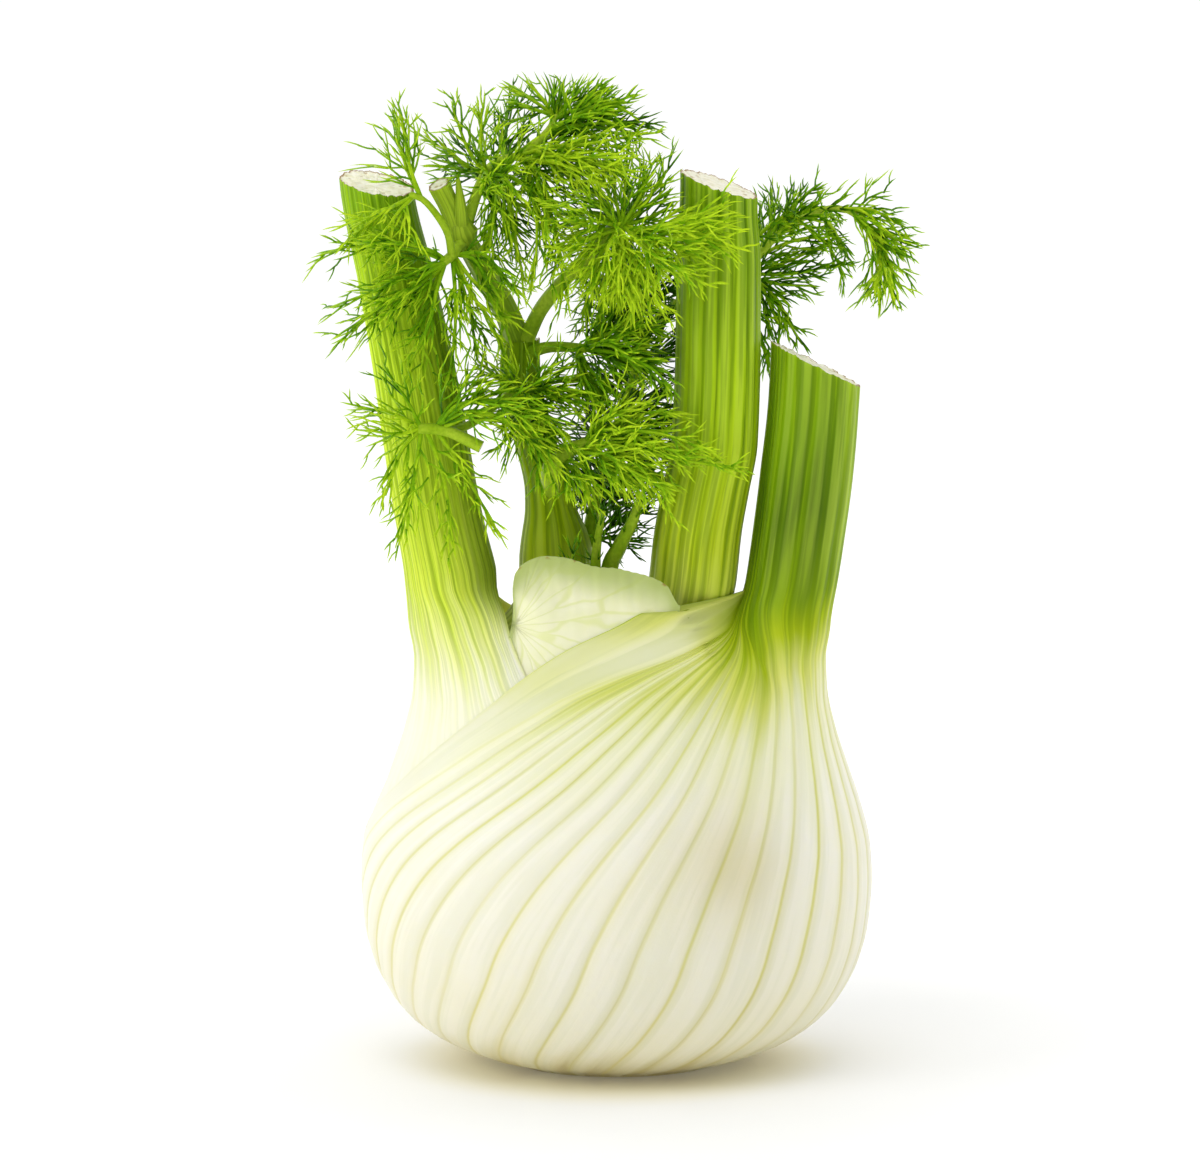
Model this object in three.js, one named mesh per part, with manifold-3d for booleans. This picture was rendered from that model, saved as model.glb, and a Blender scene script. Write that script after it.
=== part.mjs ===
// A fresh fennel bulb, stood on its trimmed root end. Four thick leaves grow round a short heart: each
// one is a fleshy base that wraps the bulb and narrows into a ribbed stalk. Three stalks are cut off
// short. The rear one still branches, and carries the feathery fronds with the young shoots beside it.
// Millimetres, +Z up, origin at the centre of the flat root cut, front towards -Y.
// Bearings run in degrees round the bulb: 0 is the front, 90 the right, 180 the back, -90 the left.

import * as THREE from "three";
import { mergeVertices } from "three/addons/utils/BufferGeometryUtils.js";
import Module from "manifold-3d";

const wasm = await Module();
wasm.setup();

// Driving dimensions

const GAP = 0.35; // between any two pieces where they show
const UNDER_GAP = 0.6; // under a leaf base's margin
const HIDDEN_GAP = 1; // added to that where one leaf base is well inside another
const MARGIN_THICKNESS = 0.9; // a leaf base thins to this at its edges
const MARGIN_TAPER = 30; // degrees of bearing over which it does
const ROOT_PLATE = { halfWidth: 17, halfDepth: 15.2, height: 2.4 };
const BASE_START = 2.9; // height at which the inner leaf bases leave the root plate
const HOOD_THICKNESS = 1.1;
const THREAD_SPACING = 7.3; // along a frond's plume
const THREAD_RADIUS = 0.27; // at a thread's root, from where it runs to a point
const PLUME_RADIUS = [0.7, 0.46];

const FRESH_WHITE = { color: 0xe9ebcd, roughness: 0.42, metalness: 0 };
const STALK_GREEN = { color: 0x9dbb3c, roughness: 0.4, metalness: 0 };
const REAR_GREEN = { color: 0xb9c86a, roughness: 0.42, metalness: 0 };
const HEART_GREEN = { color: 0xa9c24e, roughness: 0.45, metalness: 0 };
const FROND_GREEN = { color: 0x6f9f16, roughness: 0.5, metalness: 0 };
const SHADED_GREEN = { color: 0x47780f, roughness: 0.52, metalness: 0 };

// Half the bulb's width and half its depth at each height, as [height, size]. It is round at the belly
// and pressed flat where the stalks leave it.
const BULB_HALF_WIDTH = profile([
  [0, 21], [2, 28], [5, 35], [10, 41.6], [15, 45.2], [20, 47.6], [27, 49.4], [36, 50.1],
  [43, 49.7], [50, 48.1], [58, 45.5], [66, 42.9], [74, 41.2], [80, 41], [86, 42], [92, 42.9], [104, 44.5],
]);
const BULB_HALF_DEPTH = profile([
  [0, 19], [2, 24.5], [5, 30], [10, 35.5], [15, 38.5], [20, 40.3], [27, 41.8], [36, 42.5],
  [43, 42], [50, 40.5], [58, 37.3], [66, 33], [74, 28], [80, 24.2], [86, 20.3], [92, 17], [104, 13.5],
]);

// Small helpers

/** A smooth curve through [x, value] pairs that never overshoots them, as a function of x. */
function profile(pairs) {
  const last = pairs.length - 1;
  const slopes = pairs.map((pair, i) => {
    if (i === 0 || i === last) return 0;
    const before = (pair[1] - pairs[i - 1][1]) / (pair[0] - pairs[i - 1][0]);
    const after = (pairs[i + 1][1] - pair[1]) / (pairs[i + 1][0] - pair[0]);
    return before * after <= 0 ? 0 : (2 * before * after) / (before + after);
  });
  return (x) => {
    if (x <= pairs[0][0]) return pairs[0][1];
    if (x >= pairs[last][0]) return pairs[last][1];
    const i = pairs.findIndex((pair) => pair[0] > x) - 1;
    const width = pairs[i + 1][0] - pairs[i][0];
    const t = (x - pairs[i][0]) / width;
    const s = 1 - t;
    return (
      s * s * (1 + 2 * t) * pairs[i][1] + t * t * (3 - 2 * t) * pairs[i + 1][1] +
      s * s * t * width * slopes[i] - t * t * s * width * slopes[i + 1]
    );
  };
}

const { lerp, smoothstep, degToRad, euclideanModulo } = THREE.MathUtils;
const vector = ([x, y, z]) => new THREE.Vector3(x, y, z);

/** A repeatable stream of draws from 0 to 1. */
function draws(seed) {
  let state = seed >>> 0;
  return () => {
    state = (state + 0x6d2b79f5) >>> 0;
    let t = Math.imul(state ^ (state >>> 15), state | 1);
    t ^= t + Math.imul(t ^ (t >>> 7), t | 61);
    return ((t ^ (t >>> 14)) >>> 0) / 4294967296;
  };
}

/** A closed triangle list as a solid for joining and cutting. */
function solid(points, triangles) {
  const vertProperties = new Float32Array(points.flatMap((p) => [p.x, p.y, p.z]));
  const triVerts = new Uint32Array(triangles.flat());
  return new wasm.Manifold(new wasm.Mesh({ numProp: 3, vertProperties, triVerts }));
}

const join = (parts) => wasm.Manifold.union(parts);

/** A solid's points and triangles as a three.js geometry. */
function geometryOf(made) {
  const mesh = made.getMesh();
  return new THREE.BufferGeometry()
    .setAttribute("position", new THREE.BufferAttribute(new Float32Array(mesh.vertProperties), 3))
    .setIndex(new THREE.BufferAttribute(mesh.triVerts, 1));
}

/** The largest body of a solid, without the slivers and loose scraps that a cut leaves. */
function largestBody(made) {
  const merged = mergeVertices(geometryOf(made.simplify(0.03)), 1e-3);
  const vertProperties = merged.attributes.position.array;
  const triVerts = new Uint32Array(merged.index.array);
  const clean = new wasm.Manifold(new wasm.Mesh({ numProp: 3, vertProperties, triVerts }));
  return clean.decompose().reduce((a, b) => (b.volume() > a.volume() ? b : a));
}

/** A solid as a named mesh with its own material. */
function piece(name, made, finish) {
  const shown = new THREE.Mesh(geometryOf(made), new THREE.MeshStandardMaterial(finish));
  shown.name = name;
  return shown;
}

/** Triangles that close a ring of points, facing up or down. */
function capTriangles(ring, first, facesUp) {
  const flat = ring.map((p) => new THREE.Vector2(p.x, p.y));
  return THREE.ShapeUtils.triangulateShape(flat, []).map(([a, b, c]) => {
    const turn = flat[b].clone().sub(flat[a]).cross(flat[c].clone().sub(flat[a]));
    const order = turn > 0 === facesUp ? [a, b, c] : [a, c, b];
    return order.map((i) => i + first);
  });
}

/** The solid between rings of equal length, each running anticlockwise seen from above. */
function loft(rings) {
  const count = rings[0].length;
  const triangles = [];
  for (let row = 0; row < rings.length - 1; row += 1) {
    for (let i = 0; i < count; i += 1) {
      const a = row * count + i;
      const b = row * count + ((i + 1) % count);
      triangles.push([a, b, b + count], [a, b + count, a + count]);
    }
  }
  const top = rings.length - 1;
  triangles.push(...capTriangles(rings[0], 0, false), ...capTriangles(rings[top], top * count, true));
  return solid(rings.flat(), triangles);
}

/** A round stem along a curve through points, its radius running from one end's to the other's. */
function stem(path, [startRadius, endRadius], sides, steps) {
  const curve = new THREE.CatmullRomCurve3(path.map(vector));
  const frames = curve.computeFrenetFrames(steps, false);
  const points = [];
  const triangles = [];
  for (let step = 0; step <= steps; step += 1) {
    const radius = lerp(startRadius, endRadius, step / steps);
    for (let i = 0; i < sides; i += 1) {
      const turn = (2 * Math.PI * i) / sides;
      const rim = curve.getPointAt(step / steps);
      rim.addScaledVector(frames.normals[step], radius * Math.cos(turn));
      rim.addScaledVector(frames.binormals[step], radius * Math.sin(turn));
      points.push(rim);
      if (step === steps) continue;
      const a = step * sides + i;
      const b = step * sides + ((i + 1) % sides);
      triangles.push([a, b, b + sides], [a, b + sides, a + sides]);
    }
  }
  const end = steps * sides;
  for (let i = 1; i < sides - 1; i += 1) {
    triangles.push([0, i + 1, i], [end, end + i, end + i + 1]);
  }
  return solid(points, triangles);
}

/** A three-sided thread that runs out to a point. */
function thread(from, to) {
  const axis = to.clone().sub(from).normalize();
  const side = axis.clone().cross(new THREE.Vector3(0.3, 0.8, 0.5)).normalize();
  const rim = [0, 1, 2].map((i) => {
    const arm = side.clone().applyAxisAngle(axis, (2 * Math.PI * i) / 3);
    return from.clone().addScaledVector(arm, THREAD_RADIUS);
  });
  return solid([...rim, to], [[0, 2, 1], [0, 1, 3], [1, 2, 3], [2, 0, 3]]);
}

/** The same stem as short straight lengths, for keeping other pieces clear of it. */
function lengthsOf(path, [startRadius, endRadius], steps) {
  const points = new THREE.CatmullRomCurve3(path.map(vector)).getSpacedPoints(steps);
  return points.slice(1).map((end, i) => {
    return { from: points[i], to: end, radius: lerp(startRadius, endRadius, i / steps) };
  });
}

/** The least distance between two straight lengths. */
function distanceBetween(one, other) {
  const u = one.to.clone().sub(one.from);
  const v = other.to.clone().sub(other.from);
  const w = one.from.clone().sub(other.from);
  const [uu, uv, vv, uw, vw] = [u.dot(u), u.dot(v), v.dot(v), u.dot(w), v.dot(w)];
  const spread = uu * vv - uv * uv;
  const clamp = (value) => Math.min(Math.max(value, 0), 1);
  let s = spread > 1e-9 ? clamp((uv * vw - vv * uw) / spread) : 0;
  const t = clamp((uv * s + vw) / vv);
  s = clamp((uv * t - uw) / uu);
  return w.addScaledVector(u, s).addScaledVector(v, -t).length();
}

/** Whether every one of some lengths stays clear of every taken one. */
function isClear(lengths, taken) {
  return lengths.every((length) =>
    taken.every((other) => distanceBetween(length, other) > length.radius + other.radius + GAP),
  );
}

// Leaves: a base that wraps the bulb, then a ribbed stalk

// Each leaf, from the outermost in. Margins give the bearing of the base's front and back edges at each
// height, and the spine's bearing lies between them. Ribs fan from the spine to both edges, and near the
// neck those on the front gather to bearings and stalk angles of their own, by their share of the way to
// the spine, and those past some shares gather lower down. Crowding draws the back's ribs to their edge.
// A stalk is its axis, its half sizes towards and across the spine, and how far its ribs reach round it.
// An ear is a part of the base that stays open higher up. A tucked base lies that much deeper, so that it
// passes behind the rear leaf's hood.
const LEAVES = [
  {
    name: "leaf_right",
    finish: FRESH_WHITE,
    spine: 90,
    startMargin: profile([
      [0, -177], [3, -164], [10, -141], [20, -122], [30, -111], [40, -98], [49, -83], [58, -66],
      [66, -51], [73, -37], [79, -25], [84, -13], [88.5, 1], [91.5, 9], [92.8, 15], [93.4, 30],
      [95, 44], [100, 50],
    ]),
    endMargin: profile([
      [0, 181], [20, 183], [40, 181], [55, 174], [68, 162], [80, 147], [90, 130], [97, 118],
    ]),
    ribs: [19, 9],
    innerSteps: 17,
    crowding: 0,
    tuck: 0,
    wall: profile([[0, 3.4], [10, 6], [25, 7], [55, 7], [75, 5], [84, 3.2], [92, 1.7], [100, 1.2]]),
    neck: [79, 92.5],
    ear: { heights: [90.5, 93], bearings: [17, 31] },
    gather: {
      amount: profile([[46, 0], [64, 0.07], [74, 0.18], [79, 0.36], [84, 0.72], [88, 1]]),
      early: { height: 9, shares: [0.56, 0.7] },
      bearing: profile([[0, 30], [0.5, 35], [0.58, 38], [0.76, 57.5], [1, 90]]),
      angle: profile([[0, -168], [0.55, -152], [1, 0]]),
    },
    axis: [
      [32.2, 0, 84], [34.3, 0.2, 95], [35.6, 0.4, 104], [37, 0.8, 115], [38.5, 1.2, 131], [38.9, 1.4, 142],
    ],
    towards: profile([[84, 9.6], [95, 9.1], [115, 9.15], [131, 8.95]]),
    across: profile([[84, 8.9], [95, 8.4], [115, 8.2], [131, 7.9]]),
    ribReach: [-168, 128],
    ribDepth: profile([[0, 0.2], [8, 0.45], [60, 0.48], [84, 0.4], [95, 0.4], [131, 0.4]]),
    rows: [0, 3, 9, 18, 30, 42, 54, 65, 74, 80, 84.5, 88, 90.5, 92.5, 93.4, 95.5, 104],
    cut: { height: 136.9, slope: [-0.49, -0.02] },
  },
  {
    name: "leaf_left",
    finish: FRESH_WHITE,
    spine: -90,
    startMargin: profile([
      [0, -240], [20, -228], [40, -208], [60, -188], [75, -168], [84, -156], [97, -140],
    ]),
    endMargin: profile([
      [0, 60], [20, 45], [40, 20], [60, -5], [73, -20], [84, -30], [90, -33], [97, -42],
    ]),
    ribs: [7, 14],
    innerSteps: 15,
    crowding: 0.9,
    tuck: 0,
    wall: profile([[0, 3], [10, 5.5], [25, 7], [55, 7], [75, 5], [90, 1.8], [100, 1.2]]),
    neck: [84, 98],
    axis: [
      [-29.8, -1, 84], [-31.9, -1.4, 95], [-34.8, -1.8, 109], [-38.7, -2, 133.5], [-42.2, -2, 152],
      [-46.5, -2, 176],
    ],
    towards: profile([[84, 9.9], [91, 9.5], [99, 9], [109, 8.6], [133, 8.15], [152, 7.7], [172, 7.1]]),
    across: profile([[84, 8.8], [99, 8.1], [133, 7.4], [172, 6.6]]),
    ribReach: [-128, 168],
    ribDepth: profile([[70, 0], [88, 0.4], [172, 0.38]]),
    rows: [BASE_START, 10, 26, 48, 63, 74, 82, 88, 93, 99, 120],
    cut: { height: 172.3, slope: [-0.16, 0.26] },
  },
  {
    name: "leaf_rear",
    finish: REAR_GREEN,
    spine: -125,
    startMargin: profile([[0, -206], [75, -205], [97, -214]]),
    endMargin: profile([[0, -40], [75, -46], [90, -48], [97, -50]]),
    ribs: [6, 6],
    innerSteps: 8,
    crowding: 0,
    tuck: 0,
    wall: profile([[0, 4], [12, 9], [30, 13.5], [60, 13], [80, 9], [97, 5]]),
    neck: [72, 93],
    axis: [
      [-11.5, 4, 70], [-11.6, 4.6, 95], [-12, 5, 103], [-12.8, 5.5, 108], [-13.9, 6, 114],
      [-16.6, 6.5, 124], [-18.8, 7, 134], [-18.6, 7, 144],
    ],
    towards: profile([[84, 7.2], [98, 7], [103, 6.2], [108, 5], [114, 4.3], [133, 4.1], [141, 3.8]]),
    across: profile([[84, 8.6], [98, 8], [103, 7.2], [108, 5.3], [114, 4.4], [133, 4.1], [141, 3.8]]),
    ribReach: [-172, 172],
    ribDepth: profile([[84, 0], [92, 0.35], [120, 0.3], [141, 0.25]]),
    rows: [BASE_START, 16, 40, 62, 75, 84, 92, 99, 105, 110, 120],
    cut: { height: 141, slope: [0.1, 0] },
  },
  {
    name: "leaf_centre",
    finish: STALK_GREEN,
    spine: 62,
    startMargin: profile([[0, -34], [40, -38], [75, -20], [90, 5], [97, 14]]),
    endMargin: profile([[0, 146], [75, 140], [97, 120]]),
    ribs: [8, 8],
    innerSteps: 8,
    crowding: 0,
    tuck: 2.4,
    wall: profile([[0, 4], [12, 9], [30, 13.5], [60, 13], [80, 9], [97, 5]]),
    neck: [68, 90],
    axis: [
      [11.5, 1.5, 68], [12.8, 1.5, 84], [14.8, 1.2, 94], [15.9, 1, 104], [17.3, 0.8, 112],
      [19, 0.5, 121.5], [19.7, 0, 141], [19.8, 0, 176],
    ],
    towards: profile([[84, 8.2], [94, 8.7], [112, 8.6], [141, 8.4], [156, 8.35], [170, 7.6]]),
    across: profile([[84, 8.2], [94, 8.5], [112, 8.3], [141, 8], [170, 7.4]]),
    ribReach: [-174, 116],
    ribDepth: profile([[80, 0], [90, 0.42], [172, 0.4]]),
    rows: [BASE_START, 16, 40, 62, 74, 83, 91, 99, 111, 128],
    cut: { height: 172, slope: [-0.33, 0.1] },
  },
];
const WRAPPERS = LEAVES.slice(0, 2);

/** How far a bearing lies inside a leaf's base at a height, in degrees from its nearer margin. */
function degreesInside(leaf, bearing, height) {
  const start = leaf.startMargin(height);
  const span = leaf.endMargin(height) - start;
  const past = euclideanModulo(bearing - start, 360);
  return Math.min(past, span - past);
}

/** A leaf base's thickness there, which stays at the margin's where the base doesn't reach. */
function thickness(leaf, bearing, height) {
  const share = smoothstep(degreesInside(leaf, bearing, height), 0, MARGIN_TAPER);
  return lerp(MARGIN_THICKNESS, leaf.wall(height), share);
}

/** How deep under the bulb's surface a leaf's outer face lies, inside the leaves that wrap it. */
function depthUnder(wrappers, bearing, height) {
  return wrappers.reduce((depth, leaf) => {
    const share = smoothstep(degreesInside(leaf, bearing, height), 0, MARGIN_TAPER);
    return depth + thickness(leaf, bearing, height) + UNDER_GAP + share * HIDDEN_GAP;
  }, 0);
}

/** A point at a bearing and height, some depth under the bulb's surface. */
function onBulb(bearing, height, depth) {
  const turn = degToRad(bearing);
  return new THREE.Vector3(
    (BULB_HALF_WIDTH(height) - depth) * Math.sin(turn),
    -(BULB_HALF_DEPTH(height) - depth) * Math.cos(turn),
    height,
  );
}

/** The point of an axis, given as a list of points, at a height. */
function axisPoint(axis, height) {
  const across = profile(axis.map(([x, , z]) => [z, x]));
  const deep = profile(axis.map(([, y, z]) => [z, y]));
  return new THREE.Vector3(across(height), deep(height), height);
}

/** How far a leaf's base has closed into its stalk at a bearing and height, 0 to 1. */
function closing(leaf, bearing, height) {
  if (!leaf.ear) return smoothstep(height, ...leaf.neck);
  const { heights, bearings } = leaf.ear;
  const shut = smoothstep(bearing, ...bearings);
  return smoothstep(height, lerp(heights[0], leaf.neck[0], shut), lerp(heights[1], leaf.neck[1], shut));
}

/** The bearing on the bulb and the angle round the stalk of a leaf's outer face, past its spine by ribs. */
function outerTurns(leaf, start, end, past, height) {
  const [startRibs, endRibs] = leaf.ribs;
  if (past > 0) {
    const far = past / endRibs;
    const crowded = far * (1 + leaf.crowding * (1 - far));
    return [lerp(leaf.spine, end, crowded), lerp(0, leaf.ribReach[1], far)];
  }
  const share = past / startRibs + 1;
  const even = lerp(start, leaf.spine, share);
  if (!leaf.gather) return [even, lerp(leaf.ribReach[0], 0, share)];
  const { amount, early, bearing, angle } = leaf.gather;
  const gathered = lerp(start, bearing(share), Math.min(share * startRibs, 1));
  const raised = height + early.height * smoothstep(share, ...early.shares);
  return [lerp(even, gathered, amount(raised)), angle(share)];
}

/** One closed ring of a leaf: its ribbed outer face, then its plain inner face, all grown by a margin. */
function leafRing(leaf, wrappers, height, grow) {
  const [startRibs, endRibs] = leaf.ribs;
  const start = leaf.startMargin(height) - grow;
  const end = leaf.endMargin(height) + grow;
  const centre = axisPoint(leaf.axis, height);
  const turn = degToRad(leaf.spine);
  const outward = new THREE.Vector3(Math.sin(turn), -Math.cos(turn), 0);
  const along = new THREE.Vector3(Math.cos(turn), Math.sin(turn), 0);
  const ringPoint = (bearing, angle, depth, groove) => {
    const stalk = centre.clone();
    stalk.addScaledVector(outward, (leaf.towards(height) + grow - groove) * Math.cos(degToRad(angle)));
    stalk.addScaledVector(along, (leaf.across(height) + grow - groove) * Math.sin(degToRad(angle)));
    return onBulb(bearing, height, depth + groove).lerp(stalk, closing(leaf, bearing, height));
  };
  const ring = [];
  const outerSteps = 2 * (startRibs + endRibs);
  for (let i = 0; i <= outerSteps; i += 1) {
    const [bearing, angle] = outerTurns(leaf, start, end, i / 2 - startRibs, height);
    const sunk = i % 2 === 0 && grow === 0 ? smoothstep(Math.min(i, outerSteps - i), 0, 5) : 0;
    const groove = sunk * leaf.ribDepth(height);
    const depth = depthUnder(wrappers, bearing, height) + leaf.tuck - grow;
    ring.push(ringPoint(bearing, angle, depth, groove));
  }
  for (let i = 0; i <= leaf.innerSteps; i += 1) {
    const bearing = lerp(end, start, i / leaf.innerSteps);
    const round = (i + 1) / (leaf.innerSteps + 2);
    const angle = lerp(leaf.ribReach[1], leaf.ribReach[0] + 360, round);
    const depth = depthUnder(wrappers, bearing, height) + leaf.tuck + thickness(leaf, bearing, height);
    ring.push(ringPoint(bearing, angle, depth + grow, 0));
  }
  return ring;
}

/** A whole leaf: rings from the root end up to the slanting cut, all grown by a margin. */
function leafSolid(leaf, wrappers, grow) {
  const { height, slope } = leaf.cut;
  const centre = axisPoint(leaf.axis, height);
  const rings = leaf.rows.map((row) => leafRing(leaf, wrappers, row, grow));
  const cut = leafRing(leaf, wrappers, height + grow, grow).map((p) => {
    const rise = slope[0] * (p.x - centre.x) + slope[1] * (p.y - centre.y);
    return p.add(axisPoint(leaf.axis, height + rise).sub(centre));
  });
  return loft([...rings, cut]);
}

// The rear leaf's hood, a thin sheath that stands up in front of the stalks, and its own branches

const HOOD = {
  bearings: [-62, -48, -36, -30, -28, -26, -22, -17, -11, -4, 3, 10, 17],
  foot: 60,
  rows: 5,
  rim: profile([
    [-62, 84], [-34, 84.5], [-30, 87], [-28.2, 93], [-26.6, 97.6], [-22, 100.4], [-17, 101.2],
    [-11, 100.2], [-6, 99.2], [2, 98.6], [8, 97.4], [13, 95.8], [17, 92],
  ]),
};
const REAR_BRANCHES = [
  { path: [[-18.6, 7, 139], [-21.5, 4, 147], [-26, -0.5, 155.5], [-30, -4, 163]], radius: [2.6, 2] },
  { path: [[-30, -4, 161.5], [-32, -4.2, 167.5], [-34.2, -4.2, 172.8]], radius: [1.9, 2] },
  { path: [[-29.8, -4.5, 163], [-30, -6, 168], [-30.6, -6, 174]], radius: [1.6, 0.3] },
];

/** The hood's slab, its outer face just under the two wrapping leaves, all grown by a margin. */
function hoodSolid(grow) {
  const { bearings, foot, rows, rim } = HOOD;
  const faces = [-grow, HOOD_THICKNESS + grow];
  const count = bearings.length;
  const layer = count * (rows + 1);
  const points = [];
  const triangles = [];
  const quad = (a, b, c, d) => triangles.push([a, b, c], [a, c, d]);
  faces.forEach((depth, face) => {
    for (let row = 0; row <= rows; row += 1) {
      bearings.forEach((at, i) => {
        const edge = i === 0 ? -grow : i === count - 1 ? grow : 0;
        const height = lerp(foot - grow, rim(at) + grow, row / rows);
        const thinning = face === 1 ? 0.45 * smoothstep(height, 84, 100) : 0;
        const under = depthUnder(WRAPPERS, at, height) + 0.3;
        points.push(onBulb(at + edge, height, under + depth - thinning));
        if (row === rows || i === count - 1) return;
        const a = face * layer + row * count + i;
        if (face === 0) quad(a, a + 1, a + count + 1, a + count);
        else quad(a, a + count, a + count + 1, a + 1);
      });
    }
  });
  for (let i = 0; i < count - 1; i += 1) {
    const top = rows * count + i;
    quad(i, i + layer, i + layer + 1, i + 1);
    quad(top, top + 1, top + layer + 1, top + layer);
  }
  for (let row = 0; row < rows; row += 1) {
    const left = row * count;
    const right = left + count - 1;
    quad(left, left + count, left + count + layer, left + layer);
    quad(right, right + layer, right + count + layer, right + count);
  }
  return solid(points, triangles);
}

/** The rear leaf with its hood and branches. */
function rearLeaf(leaf, grow) {
  const branches = REAR_BRANCHES.map(({ path, radius }) => {
    return stem(path, radius.map((size) => size + grow), 7, 4);
  });
  return join([leafSolid(leaf, WRAPPERS, grow), hoodSolid(grow), ...branches]);
}

// The heart: the root plate, the core that every leaf grows round, and the youngest shoots

const HEART = {
  rows: [1.5, 12, 26, 44, 60, 72, 80, 86],
  halfWidth: profile([
    [0, 10], [12, 15.5], [26, 16.8], [44, 16.2], [60, 11.5], [72, 7], [80, 4], [86, 2.6],
  ]),
  halfDepth: profile([
    [0, 7], [12, 9.6], [26, 9], [44, 8.2], [60, 5.2], [72, 4.4], [80, 3.8], [86, 2.6],
  ]),
  shoots: [
    {
      path: [[-1.5, 0, 80], [-1.5, -1.5, 96], [0.5, -2.5, 101.5], [3, -3.5, 106.5], [4.5, -4, 110.5]],
      radius: [2, 0.8],
    },
    { path: [[-3, -1, 80], [-4, -3, 96], [-3.8, -4, 102], [-2.6, -4.5, 109]], radius: [1.5, 0.5] },
    { path: [[-4, -4, 80], [-7, -7.5, 93], [-8.6, -8.5, 97.5], [-8.4, -8.5, 101]], radius: [1.4, 0.25] },
  ],
};

/** The root plate, the core and the shoots as one solid, grown by a margin. */
function heartSolid(grow) {
  const oval = (count, halfWidth, halfDepth, height) =>
    Array.from({ length: count }, (_, i) => {
      const turn = (2 * Math.PI * i) / count;
      return new THREE.Vector3(halfWidth * Math.sin(turn), -halfDepth * Math.cos(turn), height);
    });
  const plate = loft([0, ROOT_PLATE.height].map((height) => {
    return oval(20, ROOT_PLATE.halfWidth, ROOT_PLATE.halfDepth, height);
  }));
  const core = loft(HEART.rows.map((height) => {
    return oval(12, HEART.halfWidth(height) + grow, HEART.halfDepth(height) + grow, height);
  }));
  const shoots = HEART.shoots.map(({ path, radius }) => {
    return stem(path, radius.map((size) => size + grow), 5, 4);
  });
  return join([plate, core, ...shoots]);
}

// Fronds: bare stems that carry plumes, each a thin midrib with threads on all sides

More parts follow.
